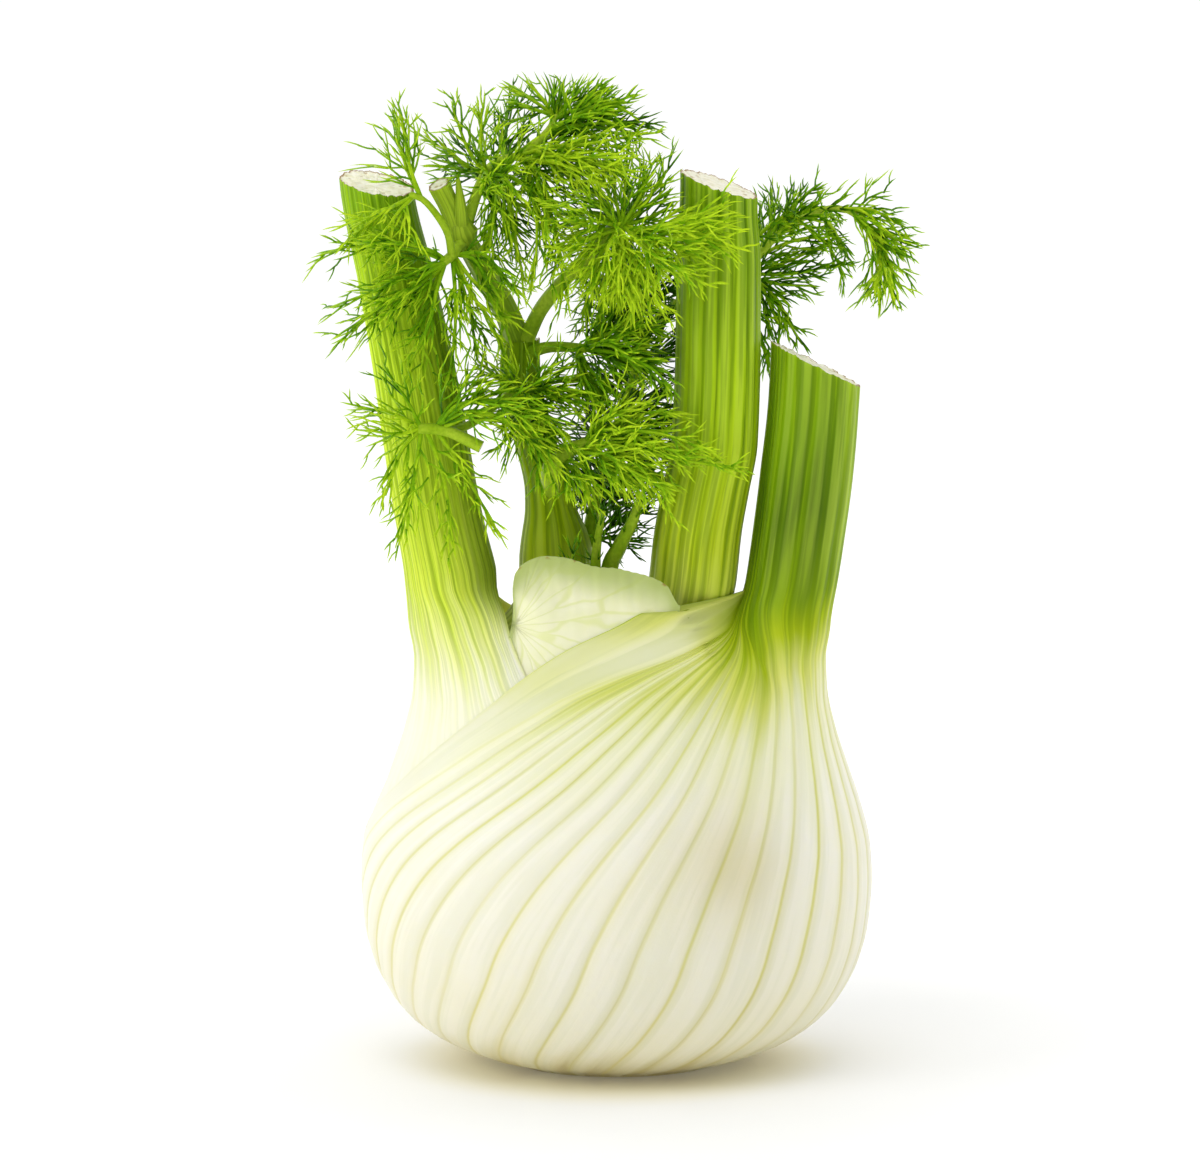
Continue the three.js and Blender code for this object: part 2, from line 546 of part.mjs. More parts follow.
const FRONDS = [
  {
    name: "frond_left",
    seed: 3,
    reach: 9.5,
    stems: [
      { path: [[-29.6, -4, 161.5], [-31, -8, 159.5], [-33, -11.5, 158]], radius: [1.4, 0.9] },
      {
        path: [[-31.6, -10, 158.8], [-32.6, -12, 164], [-36.5, -13, 169.5], [-39.5, -13, 171]],
        radius: [0.8, 0.6],
      },
    ],
    plumes: [
      [[-32.5, -11, 158], [-39.5, -13.5, 160.5], [-51, -14, 161], [-55, -12, 159.5]],
      [[-32.5, -11, 158], [-38, -13.5, 156.5], [-44, -14, 153.5], [-51.5, -12, 150.5]],
      [[-33, -11, 157.5], [-39.5, -14, 152.5], [-44.5, -14, 150], [-51.5, -12, 145]],
      [[-33, -10, 157.5], [-34.5, -13, 152.5], [-36, -14, 146], [-39.5, -13, 138.5]],
      [[-31.5, -9, 158.5], [-31, -12, 152.5], [-31, -13, 144.5], [-32, -13, 136.5]],
      [[-31, -8, 158.5], [-28, -11, 152], [-24.5, -11, 147], [-22, -9, 140.5]],
      [[-30.5, -8, 159], [-26, -10, 159.5], [-22.5, -12, 156.5], [-20, -12, 153]],
      [[-39, -12.5, 170.5], [-45, -14, 167.5], [-50.5, -14, 162.5]],
      [[-37.5, -12.5, 170.5], [-39.5, -14, 176.5], [-41, -14, 186]],
    ],
  },
  {
    name: "frond_crown",
    seed: 5,
    reach: 9.5,
    stems: [
      {
        path: [
          [-29.2, -3.6, 163.5], [-26.5, -2, 171.5], [-23.5, -1, 176], [-18, 0, 178], [-13, 0, 182.5],
          [-12, 0, 185.5],
        ],
        radius: [1.2, 0.6],
      },
    ],
    plumes: [
      [[-12, 0, 185], [-15, -2, 187.5], [-20, -3, 190.5]],
      [[-12, 0, 184], [-12, 1, 187], [-12.3, 2, 190]],
      [[-12, 0, 184.5], [-7, 3, 187], [-3.5, 4, 189.5]],
      [[-13, 0, 182.5], [-4.5, -3, 187], [1.5, -5, 188.5]],
      [[-14, 1, 181.5], [-4, 3, 183.5], [4.5, 5, 183.5]],
      [[-17, 0, 178.5], [-6, -5, 180], [6, -8, 182.5]],
      [[-20.5, 0, 177], [-11, -8, 176.5], [-4, -12, 173.5]],
      [[-18, 1, 178], [-9, 9, 177], [-1, 14, 174.5]],
      [[-21.5, 0, 177], [-21.5, 5, 181.5], [-21, 8, 186.5]],
      [[-25, -2, 174], [-28.5, -6, 179], [-31.5, -8, 187.5]],
      [[-26, -2, 172], [-22.5, -9, 174.5], [-19, -14, 171.5]],
      [[-26.5, -2, 171], [-21, 2, 169], [-14, 4, 165]],
      [[-26, -2, 172.5], [-28.5, 6, 174], [-32, 12, 176.5]],
      [[-23.5, -1, 176], [-19, 9, 173.5], [-15, 16, 168]],
      [[-18, 0, 178], [-13, -6, 168], [-10.5, -9.5, 157], [-10.5, -9, 150.5]],
      [[-22.5, -1, 176.5], [-20, -5, 165], [-18, -7, 154]],
    ],
  },
  {
    name: "frond_star",
    seed: 7,
    reach: 9,
    stems: [
      { path: [[-17.5, 5, 141.5], [-14, 1, 148.5], [-7.5, -5, 156.5], [0.5, -9, 164.5]], radius: [1.6, 1] },
    ],
    plumes: [
      [[1, -9, 164.5], [1.5, -10, 170.5], [2, -8, 178]],
      [[0.5, -9, 164.5], [-3, -5, 170], [-8, 0.5, 172.5]],
      [[0.5, -9, 164.5], [-6, -12, 167.5], [-12, -13, 169]],
      [[0.5, -9, 164], [-5, -13, 162.5], [-9.5, -15, 159.5]],
      [[0, -9, 163.5], [-3, -12, 159.5], [-5, -12, 153.5]],
      [[1, -9, 164], [4.5, -13, 156], [8, -13, 150]],
      [[1, -8, 163.5], [1.5, -9, 155.5], [3.5, -8, 148]],
      [[1.5, -9, 164.5], [6.5, -13, 160.5], [12, -14, 156.5], [16.5, -14, 154.5]],
      [[1.5, -9, 164.5], [8.5, -12, 162.5], [14.5, -14, 163], [21, -15, 161]],
      [[4, -10.5, 164], [12.5, -14, 166], [19.5, -15, 169]],
      [[1.5, -9, 165], [5, -8, 168], [9.5, -6, 175]],
      [[1, -8, 164.5], [2.5, 0, 167.5], [4.5, 8, 170]],
      [[-1, -8, 162.5], [-4, -6, 157], [-6, -4, 149]],
    ],
  },
  {
    name: "frond_low_left",
    seed: 19,
    reach: 9,
    stems: [
      { path: [[-26, -14, 122.5], [-32.5, -13.2, 125.5], [-38, -12.8, 126]], radius: [1.25, 1.1] },
      { path: [[-20.5, 3, 131], [-24, -3, 129], [-28, -9, 126.5], [-32, -13, 125.3]], radius: [0.9, 0.8] },
    ],
    plumes: [
      [[-37.5, -12.5, 126], [-42, -14, 128.5], [-49, -12, 130]],
      [[-37.5, -12.5, 126], [-42, -14, 125], [-48, -12, 125.5]],
      [[-37.5, -12.5, 126], [-41.5, -14, 121.5], [-44.5, -13, 113]],
      [[-37.5, -12.5, 126], [-38.5, -14, 119.5], [-41.5, -13, 105.5]],
      [[-36.5, -13, 125.5], [-33.5, -14, 117.5], [-31.5, -14, 104.5]],
      [[-34.5, -13, 125.5], [-29, -13, 117], [-23.5, -12, 106.5]],
      [[-35, -13, 125.5], [-32, -14, 130.5], [-28.5, -14, 132.5]],
      [[-37.5, -13, 126], [-40.5, -14, 132], [-43, -14, 135]],
      [[-34, -13.5, 127], [-27, -15, 131.5], [-18, -15, 130.5], [-10, -14, 125]],
      [[-33, -13.5, 126.5], [-26, -15, 129], [-18, -15, 126], [-12, -14, 119]],
    ],
  },
  {
    name: "frond_low_right",
    seed: 17,
    reach: 8.5,
    stems: [
      {
        path: [
          [-12.8, 2, 112.5], [-12.9, -3, 115.5], [-11.8, -6.5, 118.5], [-9.5, -9, 121], [-5, -11, 123.5],
        ],
        radius: [1.8, 0.9],
      },
    ],
    plumes: [
      [[-5, -11, 123.5], [2.5, -13, 125.5], [10.5, -14, 124.5], [17, -14, 122]],
      [[-6.5, -10.5, 122.5], [2.5, -13, 122], [12.5, -14, 120], [22.5, -14, 118.5]],
      [[-8.5, -10, 121.5], [-1.5, -12, 118.5], [6.5, -12, 117]],
      [[-6, -11, 123], [-1.5, -12, 128], [4.5, -12, 130.5]],
      [[-11, -8, 119], [-7.5, -11, 117], [-6, -12, 113]],
    ],
  },
  {
    name: "frond_middle",
    seed: 11,
    reach: 9,
    stems: [
      { path: [[-17.5, 5, 138.5], [-14, 2, 140], [-10.5, -1, 140.5], [-6, -4, 140.5]], radius: [1.4, 0.9] },
    ],
    plumes: [
      [[-6, -4, 140.5], [-0.5, -8, 140], [6.5, -11, 137.5], [11, -11, 133]],
      [[-6.5, -4, 140.5], [-1.5, -5, 143.5], [4.5, -4, 145], [10, -3, 142.5]],
      [[-7.5, -3, 140.5], [-5, -6.5, 136.5], [-1, -8, 132.5], [3, -7.5, 128.5]],
      [[-6.5, -4, 140.5], [0.5, -2, 140], [6.5, 0, 139]],
    ],
  },
  {
    name: "frond_mid_left",
    seed: 13,
    reach: 8,
    stems: [{ path: [[-16.5, 5, 126], [-17, 0, 129], [-17.4, -6, 132.3]], radius: [1.2, 0.8] }],
    plumes: [
      [[-17, -6, 132], [-15, -11, 126], [-14.5, -12, 121], [-15.5, -12, 117]],
      [[-17, -6, 132.5], [-12, -10, 132], [-7, -12, 130.5]],
      [[-17, -6, 132.5], [-14, -9, 134.5], [-10, -10, 135.5]],
      [[-17, -5, 132], [-21, -9, 134], [-23.5, -10, 137]],
    ],
  },
  {
    name: "frond_back",
    seed: 23,
    reach: 10,
    finish: SHADED_GREEN,
    stems: [
      {
        path: [
          [-5, 6, 82], [-5, 8.6, 98], [-5, 10, 104.5], [-2, 12, 115], [2, 14, 127], [4.5, 15, 139],
          [4.5, 15, 148.5],
        ],
        radius: [1.5, 0.8],
      },
    ],
    plumes: [
      [[-1, 12, 117.5], [4.5, 14, 119.5], [9, 14, 117]],
      [[0, 13, 120], [-3, 16, 125], [-4, 18, 130.5]],
      [[1.5, 14, 125], [6.5, 12, 128], [11, 10, 127.5]],
      [[2.5, 14, 128.5], [-1, 18, 134], [-3, 20, 140]],
      [[4, 15, 134.5], [7.5, 13, 139], [10, 12, 145]],
      [[4.5, 15, 141], [0, 20, 145], [-3, 22, 151.5]],
      [[4.5, 15, 146.5], [6.5, 18, 151], [10, 20, 153.5]],
      [[4.5, 15, 148.5], [2, 17, 154], [-2, 18, 157.5]],
      [[-2, 12, 114.5], [-5, 18, 113], [-8, 22, 109]],
      [[0.5, 13, 122.5], [6.5, 20, 120.5], [10, 26, 117]],
      [[4.5, 15, 145], [4.5, 24, 149.5], [3, 30, 154.5]],
      [[-5, 9.5, 101], [0, 10, 104.5], [4.5, 9, 107]],
      [[-4.5, 10, 104.5], [-5.5, 12, 109], [-6, 13, 114]],
      [[-3, 11, 110], [2, 7, 112.5], [7, 4, 114]],
    ],
  },
  {
    name: "frond_far_right",
    seed: 29,
    reach: 7.5,
    finish: SHADED_GREEN,
    stems: [
      {
        path: [
          [4, 15.5, 137], [7, 17, 143], [14.5, 15.5, 149], [24, 13.5, 153.5], [29, 12, 158.5],
          [33, 11, 162.5], [39.5, 10, 166], [44, 9, 166.5], [48, 8, 164], [50.5, 7, 159.5],
        ],
        radius: [1, 0.5],
      },
    ],
    plumes: [
      [[24, 13.5, 153.5], [34, 12, 153.5], [43, 10, 155.5]],
      [[25, 13.5, 154], [31, 13, 149], [34, 13.5, 143.5], [36.5, 13.5, 139.5]],
      [[22, 14, 152.5], [27, 13, 145], [29.5, 12, 136]],
      [[28.5, 12, 157.5], [30, 14, 162.5], [30.5, 15, 168]],
      [[33, 11, 162.5], [35, 8, 167.5], [38, 6, 170.5]],
      [[39.5, 10, 166], [42.5, 14, 162], [44.5, 17, 158]],
      [[44, 9, 166.5], [49.5, 7, 166.5], [53.5, 6, 164.5]],
      [[48, 8, 164], [52.5, 7, 161.5], [57, 7, 160]],
      [[50.5, 7, 159.5], [51.5, 6, 154], [48.5, 5, 150]],
      [[50, 7, 160.5], [53.5, 8, 155.5], [54, 8, 149]],
      [[14.5, 15.5, 149], [16, 21, 153.5], [16, 26, 158]],
      [[18, 15, 151], [20, 21, 149], [22, 27, 145]],
    ],
  },
];

/** The threads of one plume, each as its points: they alternate, lean forward and bend. */
function plumeThreads(path, reach, seed) {
  const curve = new THREE.CatmullRomCurve3(path.map(vector));
  const draw = draws(seed);
  const count = Math.round(curve.getLength() / THREAD_SPACING);
  const firstRoll = 360 * draw();
  return Array.from({ length: count + 1 }, (_, i) => {
    const share = lerp(0.24, 0.99, i / count);
    const along = curve.getTangentAt(share);
    const side = new THREE.Vector3(0, 1, 0).cross(along).normalize();
    side.applyAxisAngle(along, degToRad(firstRoll + 180 * i + 150 * (draw() - 0.5)));
    const lean = degToRad(i === count ? 12 : 34 + 24 * draw());
    const length = reach * (1 - 0.4 * share) * (0.7 + 0.5 * draw());
    const way = along.clone().multiplyScalar(Math.cos(lean)).addScaledVector(side, Math.sin(lean));
    way.add(new THREE.Vector3(0, 0, -0.25 * draw())).normalize();
    const root = curve.getPointAt(share);
    return [root, root.clone().addScaledVector(way, length)];
  });
}

/** One frond, its threads and plumes kept clear of what is already placed. */
function frond(spec, taken) {
  const parts = spec.stems.map(({ path, radius }) => stem(path, radius, 5, Math.ceil(1.5 * path.length)));
  const used = spec.stems.flatMap(({ path, radius }) => lengthsOf(path, radius, 8));
  spec.plumes.forEach((path, index) => {
    const lengths = lengthsOf(path, PLUME_RADIUS, 5);
    if (!isClear(lengths, taken)) return;
    parts.push(stem(path, PLUME_RADIUS, 3, 3));
    used.push(...lengths);
    plumeThreads(path, spec.reach, 100 * spec.seed + index).forEach(([from, to]) => {
      const length = { from, to, radius: THREAD_RADIUS };
      if (!isClear([length], taken)) return;
      parts.push(thread(from, to));
      used.push(length);
    });
  });
  return { made: join(parts), used };
}

// The whole bulb

/** Every piece, cut clear of the ones placed before it. */
function fennelBulb() {
  const bulb = new THREE.Group();
  const placed = [];
  const place = (name, made, finish, grown) => {
    const clear = placed.length ? made.subtract(join(placed)) : made;
    bulb.add(piece(name, largestBody(clear), finish));
    placed.push(grown);
  };
  const taken = [];
  LEAVES.forEach((leaf, order) => {
    const wrappers = LEAVES.slice(0, Math.min(order, 2));
    const build = leaf.name === "leaf_rear" ? rearLeaf : (part, grow) => leafSolid(part, wrappers, grow);
    place(leaf.name, build(leaf, 0), leaf.finish, build(leaf, GAP));
    const stalk = leaf.axis.filter(([, , z]) => z > 90).concat([leaf.axis.at(-1)]);
    for (let i = 0; i < stalk.length - 2; i += 1) {
      const [from, to] = [stalk[i], stalk[i + 1]].map(vector);
      taken.push({ from, to, radius: leaf.towards(from.z) });
    }
  });
  place("heart", heartSolid(0), HEART_GREEN, heartSolid(GAP));
  REAR_BRANCHES.forEach(({ path, radius }) => taken.push(...lengthsOf(path, radius, 5).slice(1)));
  HEART.shoots.forEach(({ path, radius }) => taken.push(...lengthsOf(path, radius, 5)));
  FRONDS.forEach((spec) => {
    const { made, used } = frond(spec, taken);
    place(spec.name, made, spec.finish ?? FROND_GREEN, made);
    taken.push(...used);
  });
  return bulb;
}

export default fennelBulb();
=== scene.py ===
"""The looks of a fresh fennel bulb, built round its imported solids.

Every leaf is the same kind of thing: a fleshy base that wraps the bulb, ribbed lengthways, which narrows
into a stalk. The rear leaf also has a thin hood and its own branches, and the fronds grow from it.
Sizes in the tables are millimetres, and MM turns them into the frame's metres. Bearings run in degrees
round the bulb: 0 is the front (towards -Y), 90 the right, 180 the back and -90 the left.
"""

import logging
import math
import random
from dataclasses import dataclass, field
from enum import Enum

import bpy
import numpy as np
from mathutils import Matrix, Vector


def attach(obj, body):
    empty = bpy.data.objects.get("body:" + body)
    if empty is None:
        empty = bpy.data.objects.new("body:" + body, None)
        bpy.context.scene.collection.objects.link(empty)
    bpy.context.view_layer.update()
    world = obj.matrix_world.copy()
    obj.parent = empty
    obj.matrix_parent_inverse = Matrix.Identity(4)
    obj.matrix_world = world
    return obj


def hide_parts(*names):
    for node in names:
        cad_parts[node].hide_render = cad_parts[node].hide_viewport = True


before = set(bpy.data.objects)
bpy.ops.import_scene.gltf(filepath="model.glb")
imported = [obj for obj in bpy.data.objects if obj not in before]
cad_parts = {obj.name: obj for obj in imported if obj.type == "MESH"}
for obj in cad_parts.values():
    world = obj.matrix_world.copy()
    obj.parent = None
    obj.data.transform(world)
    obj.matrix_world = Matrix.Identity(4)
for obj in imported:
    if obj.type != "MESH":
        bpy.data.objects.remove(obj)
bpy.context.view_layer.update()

LOG = logging.getLogger("fennel")
Array = np.ndarray
Colour = tuple[float, float, float]
Point = tuple[float, float, float]

MM = 0.001
TALLEST = 200.0  # the height, in mm, at which the field "rise" reaches 1
GRAIN_RISE = 0.06  # how much the skin's grain changes for each mm of height, so that it runs lengthways
STEM_ASIDE = (0.31, 0.83, 0.46)  # a direction that no stem runs along, to measure sideways from


def srgb(red: int, green: int, blue: int) -> Colour:
    """Gives a screen colour as the linear values that shaders take.

    Args:
        red: Red, 0 to 255.
        green: Green, 0 to 255.
        blue: Blue, 0 to 255.

    Returns:
        The linear red, green and blue, 0 to 1.
    """
    shares = (value / 255 for value in (red, green, blue))
    return tuple(s / 12.92 if s <= 0.04045 else ((s + 0.055) / 1.055) ** 2.4 for s in shares)


def smoothstep(values: Array, low: float, high: float) -> Array:
    """Eases from 0 at low to 1 at high."""
    share = np.clip((np.asarray(values, float) - low) / (high - low), 0, 1)
    return share * share * (3 - 2 * share)


def blend(first: Array, second: Array, share: Array) -> Array:
    """Goes straight from first at share 0 to second at share 1."""
    return first + (second - first) * share


class Profile:
    """A smooth curve through (x, value) pairs that never overshoots them."""

    def __init__(self, *pairs: tuple[float, float]) -> None:
        """Works out the slope at each pair.

        Args:
            pairs: The pairs, in order of x.
        """
        self.x, self.y = (np.array(column, float) for column in zip(*pairs))
        steps = np.diff(self.y) / np.diff(self.x)
        self.slopes = np.zeros(len(self.x))
        for i in range(1, len(self.x) - 1):
            before, after = steps[i - 1], steps[i]
            if before * after > 0:
                self.slopes[i] = 2 * before * after / (before + after)

    def __call__(self, x: Array) -> Array:
        """Gives the curve's value at each x, level beyond its ends.

        Args:
            x: Where to read the curve.

        Returns:
            The values.
        """
        x = np.clip(np.asarray(x, float), self.x[0], self.x[-1])
        i = np.clip(np.searchsorted(self.x, x, side="right") - 1, 0, len(self.x) - 2)
        width = self.x[i + 1] - self.x[i]
        t = (x - self.x[i]) / width
        s = 1 - t
        ends = s * s * (1 + 2 * t) * self.y[i] + t * t * (3 - 2 * t) * self.y[i + 1]
        return ends + width * s * t * (s * self.slopes[i] - t * self.slopes[i + 1])


def ripples(x: Array, y: Array, seed: int, waves: int = 7) -> Array:
    """Gives a smooth, repeatable unevenness of about -1 to 1, a unit or so from crest to crest.

    Args:
        x: First coordinate.
        y: Second coordinate.
        seed: Picks one pattern.
        waves: How many waves are laid over each other.

    Returns:
        The unevenness at each place.
    """
    draw = random.Random(seed)
    total = np.zeros(np.broadcast(x, y).shape)
    for _ in range(waves):
        turn = draw.uniform(0, 2 * math.pi)
        pace = draw.uniform(2.0, 6.5)
        total += np.sin(pace * (math.cos(turn) * x + math.sin(turn) * y) + draw.uniform(0, 2 * math.pi))
    return total / math.sqrt(2 * waves)


# Meshes


@dataclass
class Skin:
    """Points, faces and fields gathered for one mesh."""

    points: list[Array] = field(default_factory=list)
    faces: list[tuple[Array, int]] = field(default_factory=list)
    fields: list[dict[str, Array]] = field(default_factory=list)
    count: int = 0

    def add(self, points: Array, faces: list[Array], finish: int, **fields: Array) -> None:
        """Adds a stretch of surface.

        Args:
            points: Its points in mm, one row each.
            faces: Arrays of corner numbers within points, one row a face.
            finish: The number of its material.
            fields: Values at the points, each of one number or of three.
        """
        self.points.append(points)
        self.faces.extend((np.asarray(block) + self.count, finish) for block in faces)
        self.fields.append(fields)
        self.count += len(points)

    def build(self, name: str, finishes: list[bpy.types.Material], sharp_above: float) -> bpy.types.Object:
        """Makes the mesh object.

        Args:
            name: The piece's name.
            finishes: Its materials, in the order of their numbers.
            sharp_above: Edges that turn more than this many degrees stay crisp.

        Returns:
            The object, linked to the scene.
        """
        mesh = bpy.data.meshes.new(name)
        corners = np.concatenate([block.ravel() for block, _ in self.faces])
        sizes = np.concatenate([np.full(len(block), block.shape[1]) for block, _ in self.faces])
        numbers = np.concatenate([np.full(len(block), finish) for block, finish in self.faces])
        mesh.vertices.add(self.count)
        mesh.vertices.foreach_set("co", (np.concatenate(self.points) * MM).astype(np.float32).ravel())
        mesh.loops.add(len(corners))
        mesh.loops.foreach_set("vertex_index", corners.astype(np.int32))
        mesh.polygons.add(len(sizes))
        mesh.polygons.foreach_set("loop_start", (np.cumsum(sizes) - sizes).astype(np.int32))
        mesh.polygons.foreach_set("material_index", numbers.astype(np.int32))
        mesh.update(calc_edges=True)
        mesh.validate()
        for finish in finishes:
            mesh.materials.append(finish)
        mesh.shade_smooth()
        mesh.set_sharp_from_angle(angle=math.radians(sharp_above))
        self._store_fields(mesh)
        made = bpy.data.objects.new(name, mesh)
        bpy.context.scene.collection.objects.link(made)
        return made

    def _store_fields(self, mesh: bpy.types.Mesh) -> None:
        """Writes the gathered fields to the mesh, with 0 where a stretch has none.

        Args:
            mesh: The mesh that takes them.
        """
        names = sorted({name for stretch in self.fields for name in stretch})
        for name in names:
            wide = any(np.ndim(stretch[name]) == 2 for stretch in self.fields if name in stretch)
            columns = []
            for points, stretch in zip(self.points, self.fields):
                blank = np.zeros((len(points), 3)) if wide else np.zeros(len(points))
                columns.append(stretch.get(name, blank))
            kind, key = ("FLOAT_VECTOR", "vector") if wide else ("FLOAT", "value")
            stored = mesh.attributes.new(name, kind, "POINT")
            stored.data.foreach_set(key, np.concatenate(columns).astype(np.float32).ravel())


def grid_faces(rows: int, columns: int, closed: bool) -> Array:
    """Gives the four-cornered faces of a grid of points that are numbered row by row.

    Args:
        rows: How many rows.
        columns: How many points a row.
        closed: Whether each row joins up with its own start.

    Returns:
        Corner numbers, one row a face.
    """
    across = columns if closed else columns - 1
    row, column = np.meshgrid(np.arange(rows - 1), np.arange(across), indexing="ij")
    following = (column + 1) % columns
    corners = [row * columns + column, row * columns + following]
    corners += [(row + 1) * columns + following, (row + 1) * columns + column]
    return np.stack(corners, axis=-1).reshape(-1, 4)


def curve_points(path: list[Point], count: int) -> Array:
    """Gives evenly spaced points on a smooth curve through the points of a path.

    Args:
        path: The points of the path.
        count: How many points to give.

    Returns:
        The points, one row each.
    """
    knots = np.array([path[0], *path, path[-1]], float)
    knots[0] = 2 * knots[1] - knots[2]
    knots[-1] = 2 * knots[-2] - knots[-3]
    t = np.linspace(0, 1, 13)[:-1, None]
    pieces = []
    for a, b, c, d in zip(knots, knots[1:], knots[2:], knots[3:]):
        cubic = -a + 3 * b - 3 * c + d
        square = 2 * a - 5 * b + 4 * c - d
        pieces.append(0.5 * (2 * b + (c - a) * t + square * t**2 + cubic * t**3))
    dense = np.concatenate([*pieces, knots[-2:-1]])
    along = np.concatenate([[0], np.cumsum(np.linalg.norm(np.diff(dense, axis=0), axis=1))])
    wanted = np.linspace(0, along[-1], count)
    return np.stack([np.interp(wanted, along, dense[:, axis]) for axis in range(3)], axis=1)


@dataclass(frozen=True)
class Stem:
    """A round stem along a smooth curve."""

    path: list[Point]
    radii: tuple[float, ...]
    ridges: int = 7
    steps_per_mm: float = 0.9

    def add_to(self, skin: Skin, finish: int, cut: int | None = None, **fields: float) -> None:
        """Adds the stem's surface, closed at both ends.

        Args:
            skin: The mesh that takes it.
            finish: The number of its material.
            cut: The number of the material on its ends, where they are cut faces.
            fields: Values that hold all along it.
        """
        length = sum(math.dist(a, b) for a, b in zip(self.path, self.path[1:]))
        count = max(4, round(length * self.steps_per_mm))
        centres = curve_points(self.path, count)
        along = np.gradient(centres, axis=0)
        along /= np.linalg.norm(along, axis=1, keepdims=True)
        side = np.cross(along, STEM_ASIDE)
        side /= np.linalg.norm(side, axis=1, keepdims=True)
        across = np.cross(along, side)
        sides = 2 * self.ridges
        turn = np.arange(sides) * 2 * math.pi / sides
        share = np.linspace(0, 1, count)
        radius = np.interp(share, np.linspace(0, 1, len(self.radii)), self.radii)[:, None]
        radius = radius * (1 + 0.05 * np.cos(turn * self.ridges))
        radius = radius * (1 + 0.04 * ripples(share[:, None] * length / 9, turn[None] * 0, self.ridges))
        rim = radius[..., None] * (
            np.cos(turn)[None, :, None] * side[:, None] + np.sin(turn)[None, :, None] * across[:, None]
        )
        points = (centres[:, None] + rim).reshape(-1, 3)
        bulge = 0.35 if cut is None else -0.12
        ends = np.stack([centres[0], centres[-1] + along[-1] * self.radii[-1] * bulge])
        caps = []
        for centre, first in ((count * sides, 0), (count * sides + 1, (count - 1) * sides)):
            ring = first + np.arange(sides)
            fan = [np.full(sides, centre), ring, np.roll(ring, -1)]
            caps.append(np.stack(fan if first else [fan[0], fan[2], fan[1]], axis=1))
        circle = [np.cos(turn)[None] * self.ridges / 6, np.sin(turn)[None] * self.ridges / 6]
        grain = np.stack(np.broadcast_arrays(*circle, centres[:, 2:3] * GRAIN_RISE), axis=-1).reshape(-1, 3)
        grain = np.concatenate([grain, grain[:1], grain[-1:]])
        height = np.concatenate([points, ends])[:, 2]
        extra = {name: np.full(len(height), value) for name, value in fields.items()}
        extra.setdefault("vein", np.full(len(height), 3.0))
        extra["inward"] = np.repeat([0.0, 0.3], [len(points), 2])
        number = skin.count
        skin.add(
            np.concatenate([points, ends]), [grid_faces(count, sides, True)], finish,
            grain=grain, rise=height / TALLEST, **extra,
        )
        skin.faces.extend((cap + number, finish if cut is None else cut) for cap in caps)


# Materials


